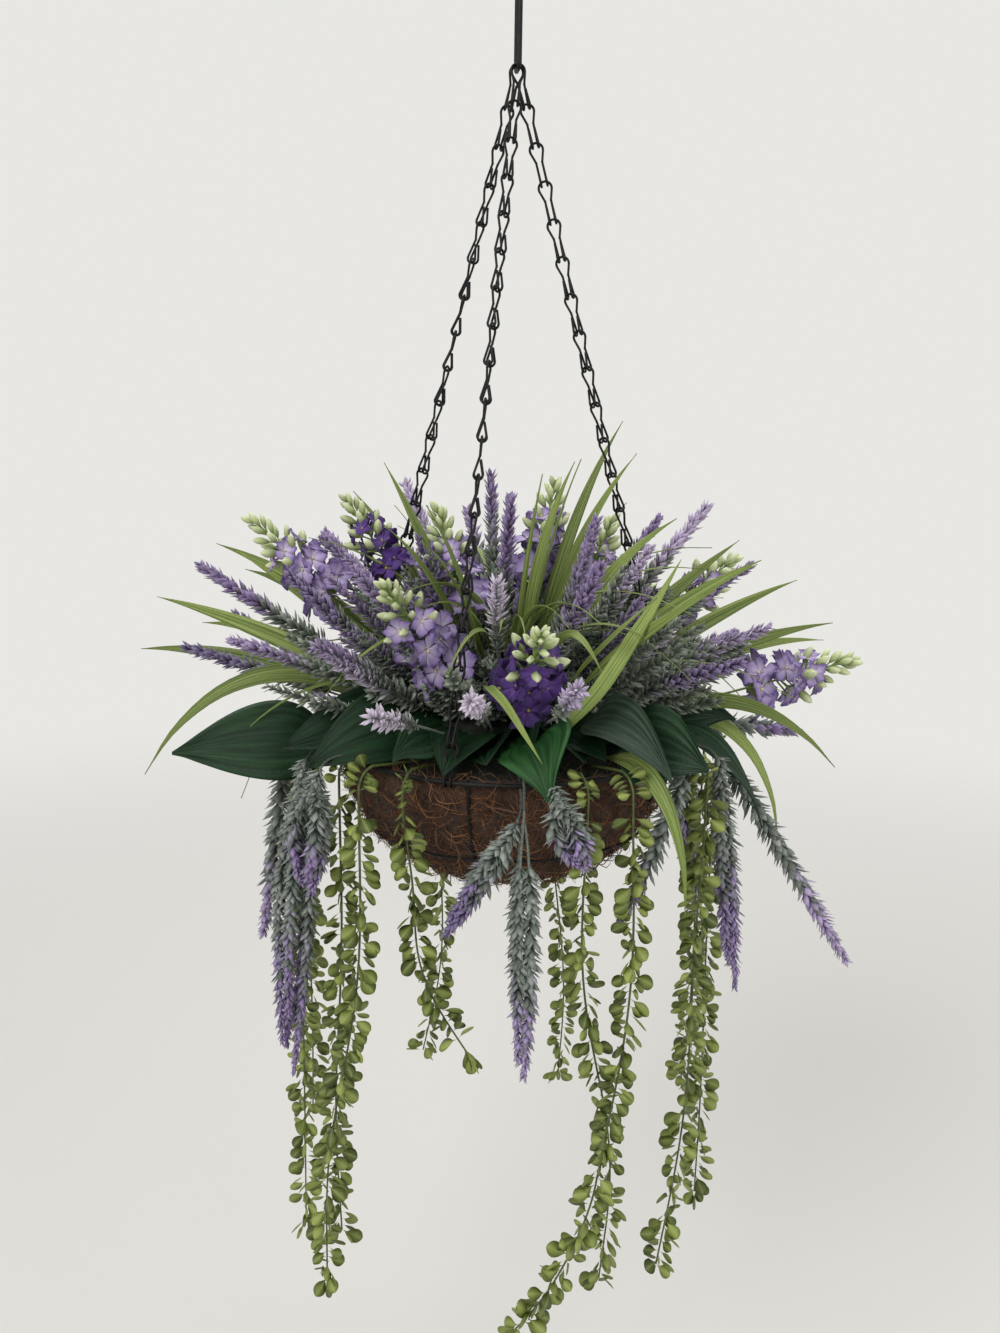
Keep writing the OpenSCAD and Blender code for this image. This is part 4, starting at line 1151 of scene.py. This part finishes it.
def leafGrid(sections, look):
    # Sections run along the leaf, each a line of points across it
    sections = np.array(sections)
    lengthwise = np.stack([smoothLine(sections[:, k], look["rows"]) for k in range(sections.shape[1])], 1)
    return np.stack([smoothLine(row, look["columns"]) for row in lengthwise], 0)


def rolled(sections, angle):
    # The blade turns about its own middle line once it is clear of its foot
    sections = np.array(sections)
    ways = headings(sections[:, 1])
    for i, way in enumerate(ways):
        turn = Quaternion(Vector(way), angle * min(1.0, i / grass["footRings"]))
        for k in (0, 2):
            sections[i, k] = sections[i, 1] + np.array(turn @ Vector(sections[i, k] - sections[i, 1]))
    return sections


grass = {"rows": 26, "columns": 5, "thickness": 0.0006, "corners": 4, "roll": (0.75, 1.0),
         "footRings": 3, "leastRoll": 0.3, "sideRoll": 1.2, "frontWithin": 0.1,
         "wider": {"grass_left": 1.5, "grass_top": 1.0, "grass_front": 1.4, "grass_right": 1.25,
                   "grass_back": 1.0}}
for name, wider in grass["wider"].items():
    sheets = []
    for solid in looseSolids(name):
        sections, last = [], None
        for ring in ringsOf(solid, grass["corners"]):
            line, last = crossLine(ring, last)
            core = line[1:3].mean(0)
            sections.append([core + wider * (line[0] - core), core, core + wider * (line[3] - core)])
        lean = solid[distances(solid, root).argmax()] - root
        # The further to the side a blade leans, the more it turns its face to the front
        sideways = grass["leastRoll"] + grass["sideRoll"] * abs(lean[0]) / math.hypot(lean[0], lean[1])
        roll = dice.uniform(*grass["roll"]) * sideways * (1 if lean[0] > 0 else -1)
        roll *= 1 if lean[1] < grass["frontWithin"] else -1
        sheets.append(closedSheet(leafGrid(rolled(sections, roll), grass), grass["thickness"], dice.random()))
    addPiece(nodeWords(name), joinSheets(name, sheets, grassBlade), "grass_green", name)
    print("stage:", name, len(sheets), "blades")

hosta = {"rows": 34, "columns": 25, "thickness": 0.0009, "corners": 8, "ripple": 0.0011, "veins": 7,
         "wave": 0.0016, "stalk": 0.24, "fadeIn": 0.2, "fadeOut": 0.15, "midRipple": 0.3, "edgeRipple": 0.7,
         "waves": (11, 3), "phase": 6}
hostaNodes = ["hosta_left", "hosta_small", "hosta_center", "hosta_folded", "hosta_broad", "hosta_drooping",
              "hosta_side", "hosta_back_1", "hosta_back_2", "hosta_back_3", "hosta_back_4"]
leafColours = {"hosta_center": hostaBright, "hosta_folded": hostaGrey}
for name in hostaNodes:
    sections, last = [], None
    for ring in ringsOf(looseSolids(name)[0], hosta["corners"]):
        line, last = crossLine(ring, last)
        sections.append([line[0], line[1:3].mean(0), line[3:5].mean(0), line[5:7].mean(0), line[7]])
    top = leafGrid(sections, hosta)
    along, across = np.linspace(0, 1, hosta["rows"])[:, None], np.linspace(0, 1, hosta["columns"])[None]
    outer = np.abs(2 * across - 1)
    # Ripples and waves fade out on the stalk and at the tip
    broad = np.clip((along - hosta["stalk"]) / hosta["fadeIn"], 0, 1)
    broad = broad * np.clip((1 - along) / hosta["fadeOut"], 0, 1)
    ripple = hosta["ripple"] * np.cos(2 * math.pi * hosta["veins"] * across) * broad
    ripple = ripple * (hosta["midRipple"] + hosta["edgeRipple"] * outer)
    phase = hosta["waves"][0] * along + hosta["waves"][1] * across + dice.uniform(0, hosta["phase"])
    wave = hosta["wave"] * np.sin(phase) * outer ** 2 * broad
    top = top + gridNormals(top) * (ripple + wave)[:, :, None]
    mesh = joinSheets(name, [closedSheet(top, hosta["thickness"], 0.5)], leafColours.get(name, hostaDark))
    addPiece(nodeWords(name), mesh, "hosta_bright" if name in leafColours else "hosta_dark", name)
print("stage: leaves and blades made")


# Loose leaves with no solid of their own: dark ones under the planting, coloured darker as painted shade
# there, and thin blades that arch through it

looseLeaf = {"sections": 8, "bentSections": 9, "bend": 1.6, "clear": 0.3, "heel": 0.06, "bentHeel": 0.12,
             "bentWide": 0.8, "slimmest": 0.03, "toFront": (0.15, -1.0, 0.35)}


def halfWidth(t, width, heel, wide):
    return width / 2 * max(math.sin(math.pi * (heel + (1 - heel) * t) ** wide), looseLeaf["slimmest"])


def freeLeaf(azimuth, leanFrom, leanTo, start, reach, width, roll, fold, wide):
    level = np.array([math.cos(math.radians(azimuth)), math.sin(math.radians(azimuth)), 0.0])
    sections = []
    for t in np.linspace(0, 1, looseLeaf["sections"]):
        way = wayOf(azimuth, leanFrom + (leanTo - leanFrom) * t ** looseLeaf["bend"])
        turn = math.radians(roll) * min(1.0, t / looseLeaf["clear"])
        side = math.cos(turn) * level + math.sin(turn) * np.cross(way, level)
        half = halfWidth(t, width, looseLeaf["heel"], wide)
        middle = root + (start + t * (reach - start)) * way
        rise = fold * np.cross(side, way)
        sections.append([middle + half * k * side - half * abs(k) * rise for k in (-1, -0.5, 0, 0.5, 1)])
    return sections


def bentLeaf(spots, width):
    # A blade through given spots, each an azimuth, a lean and a distance from the root, its face to the front
    line = smoothLine([root + away * wayOf(azimuth, lean) for azimuth, lean, away in spots],
                      looseLeaf["bentSections"])
    sections = []
    for t, middle, way in zip(np.linspace(0, 1, len(line)), line, headings(line)):
        side = unit(np.cross(way, looseLeaf["toFront"]))
        half = halfWidth(t, width, looseLeaf["bentHeel"], looseLeaf["bentWide"])
        keel = middle + 0.3 * half * np.cross(way, side)
        sections.append([middle - half * side, keel, middle + half * side])
    return sections


# Their shade values are kept low, so they come out darker than the hosta leaves: painted shade under the
# planting
shadeLeaf = {"count": 26, "rows": 18, "columns": 13, "width": 0.044, "wider": (0.8, 1.15), "ripple": 0.0007,
             "veins": 6, "lean": (60, 70), "leanTo": (78, 87), "aside": (-5, 5), "roll": (-45, 45),
             "start": 0.06, "reach": (0.12, 0.136), "fold": 0.25, "wide": 1.15, "shade": (0.1, 0.6)}
# Two are drawn, the others stand all round
drawn = [freeLeaf(-48, 64, 84, 0.05, 0.176, 0.056, -58, 0.15, 1.2),
         freeLeaf(-57, 66, 82, 0.05, 0.18, 0.05, -50, 0.15, 1.2)]
for i in range(shadeLeaf["count"]):
    azimuth = -176 + 352 * i / (shadeLeaf["count"] - 1)
    lean, aside, leanTo, reach, wider, roll = draws(shadeLeaf, "lean", "aside", "leanTo", "reach", "wider",
                                                    "roll")
    drawn.append(freeLeaf(azimuth + aside, lean, leanTo, shadeLeaf["start"], reach,
                          shadeLeaf["width"] * wider, roll, shadeLeaf["fold"], shadeLeaf["wide"]))
across = np.linspace(0, 1, shadeLeaf["columns"])
folds = np.cos(2 * math.pi * shadeLeaf["veins"] * across)[None, :, None] * shadeLeaf["ripple"]
sheets = []
for sections in drawn:
    top = leafGrid(sections, shadeLeaf)
    top = top + gridNormals(top) * folds
    sheets.append(closedSheet(top, hosta["thickness"], dice.uniform(*shadeLeaf["shade"])))
addPiece("shadeLeaves", joinSheets("shadeLeaves", sheets, hostaDark), "hosta_dark")

archBlade = {"count": 34, "rows": 24, "columns": 5, "width": (0.0032, 0.0062), "lean": (14, 62),
             "frontLean": (10, 30), "leanMore": (14, 46), "roll": (-70, 70), "start": 0.085,
             "reach": (0.16, 0.225), "frontReach": (0.16, 0.19), "fold": 0.3, "wide": 0.8, "turnFrom": 40,
             "frontWithin": 62}
drawn = [bentLeaf([(-12, 50, 0.10), (-7, 56, 0.128), (-1, 63, 0.145), (4, 71, 0.153), (8, 78, 0.158)],
                  0.0062),
         bentLeaf([(16, 46, 0.125), (18, 46, 0.148), (20, 48, 0.162), (22, 53, 0.168), (24, 59, 0.168)],
                  0.0058),
         bentLeaf([(20, 68, 0.12), (28, 60, 0.145), (37, 52, 0.165), (44, 47, 0.186), (50, 43, 0.212)],
                  0.0105)]
sheets = [closedSheet(leafGrid(sections, archBlade), grass["thickness"], dice.random()) for sections in drawn]
for i in range(archBlade["count"]):
    azimuth = (i * goldenDegrees + archBlade["turnFrom"]) % 360 - 180
    front = abs(azimuth) < archBlade["frontWithin"]
    lean, more, reach, width, roll = draws(archBlade, "frontLean" if front else "lean", "leanMore",
                                           "frontReach" if front else "reach", "width", "roll")
    sections = freeLeaf(azimuth, lean, lean + more, archBlade["start"], reach, width, roll, archBlade["fold"],
                        archBlade["wide"])
    sheets.append(closedSheet(leafGrid(sections, archBlade), grass["thickness"], dice.random()))
addPiece("archBlades", joinSheets("archBlades", sheets, grassBlade), "grass_green")
print("stage: shade leaves and arching blades made")


# Trailing vines

vine = {"count": 12, "stemRadius": 0.001, "stemCorners": 5, "steps": 240, "leafScale": 1.1, "partner": 2.9,
        "partnerLoose": (-0.4, 0.4), "sizes": (0.75, 1.15), "firstSizes": (0.7, 1.1),
        "sweep": (-0.046, 0.0, 0.042), "sweepFrom": 0.76, "sweepRun": 0.24, "leastRoll": 0.45,
        "moreRoll": 0.9, "seat": 0.0005, "sweepPower": 1.6, "tipRadius": 0.6, "bareRun": 42, "bareGap": 8,
        "barePairs": 5, "aside": (0.3, -0.8, 0.4), "pairs": ((0.0, 0.0), (0.34, 0.9), (0.67, 0.3))}


def leafOn(spot, way, aim, turned, length, sizes):
    # Rolled to either side, so that few leaves are seen on edge
    aim = Vector(aim)
    aim.rotate(Quaternion(Vector(way), turned))
    roll = dice.uniform(-1.0, 1.0)
    roll = math.copysign(vine["leastRoll"] + vine["moreRoll"] * abs(roll), roll)
    return (spot + vine["seat"] * np.array(aim), aim.to_track_quat("Z", "Y") @ Quaternion((0, 0, 1), roll),
            length * dice.uniform(*sizes))


for number in range(vine["count"]):
    name = "vine_" + str(number + 1)
    solids = sorted(looseSolids(name), key=len)
    stem, leaves = solids[-1], solids[:-1]
    stem = stem[(np.hypot(stem[:, 0], stem[:, 1]) - stem[:, 2]).argsort()]
    knots = [stem[i:i + vine["stemCorners"]].mean(0) for i in range(0, len(stem), vine["stemCorners"])]
    knotLine = smoothLine(knots, vine["steps"])
    line = knotLine.copy()
    if name == "vine_6":
        t = np.linspace(0, 1, vine["steps"])[:, None]
        swept = np.clip((t - vine["sweepFrom"]) / vine["sweepRun"], 0, 1) ** vine["sweepPower"]
        line += swept * np.array(vine["sweep"])
    thin = line[::2]
    path = {"points": thin, "radius": vine["stemRadius"] * np.linspace(1.0, vine["tipRadius"], len(thin))}
    addStalks(name, [path], vineStem, "vine_green")
    placed, stations = [], []
    ways = headings(line)
    for leaf in leaves:
        gap = np.linalg.norm(leaf[:, None] - knotLine[None], axis=2)
        nearest = gap.min(1).argmin()
        foot = leaf[nearest]
        tip = leaf[distances(leaf, foot).argmax()]
        stations.append((int(gap[nearest].argmin()), np.linalg.norm(tip - foot), unit(tip - foot)))
    stations.sort(key=lambda station: station[0])
    ends = [station[0] for station in stations[1:]] + [len(line) - 1]
    for (near, length, out), following in zip(stations, ends):
        # A pair where the solid's leaf is, and crossed pairs on the way to the next
        for share, quarter in vine["pairs"]:
            at = int(near + share * (following - near) + 0.5)
            for turned in (0.0, vine["partner"] + dice.uniform(*vine["partnerLoose"])):
                placed.append(leafOn(line[at], ways[at], out, turned + quarter, length * vine["leafScale"],
                                     vine["sizes"]))
    # Pairs up the bare run before the first of them, as long as the last solid leaf
    first = stations[0][0]
    bare = np.linspace(max(first - vine["bareRun"], 0), first - vine["bareGap"], vine["barePairs"])
    for at in bare.astype(int):
        out = np.cross(ways[at], unit(np.cross(ways[at], vine["aside"])))
        for turned in (0.0, vine["partner"]):
            placed.append(leafOn(line[at], ways[at], out, turned + at * golden, length, vine["firstSizes"]))
    addCopies(nodeWords(name) + "Leaves", *zip(*placed), vineLeafPart, vineLeaf, "vine_green")

for part in parts:
    bpy.data.objects.remove(part)
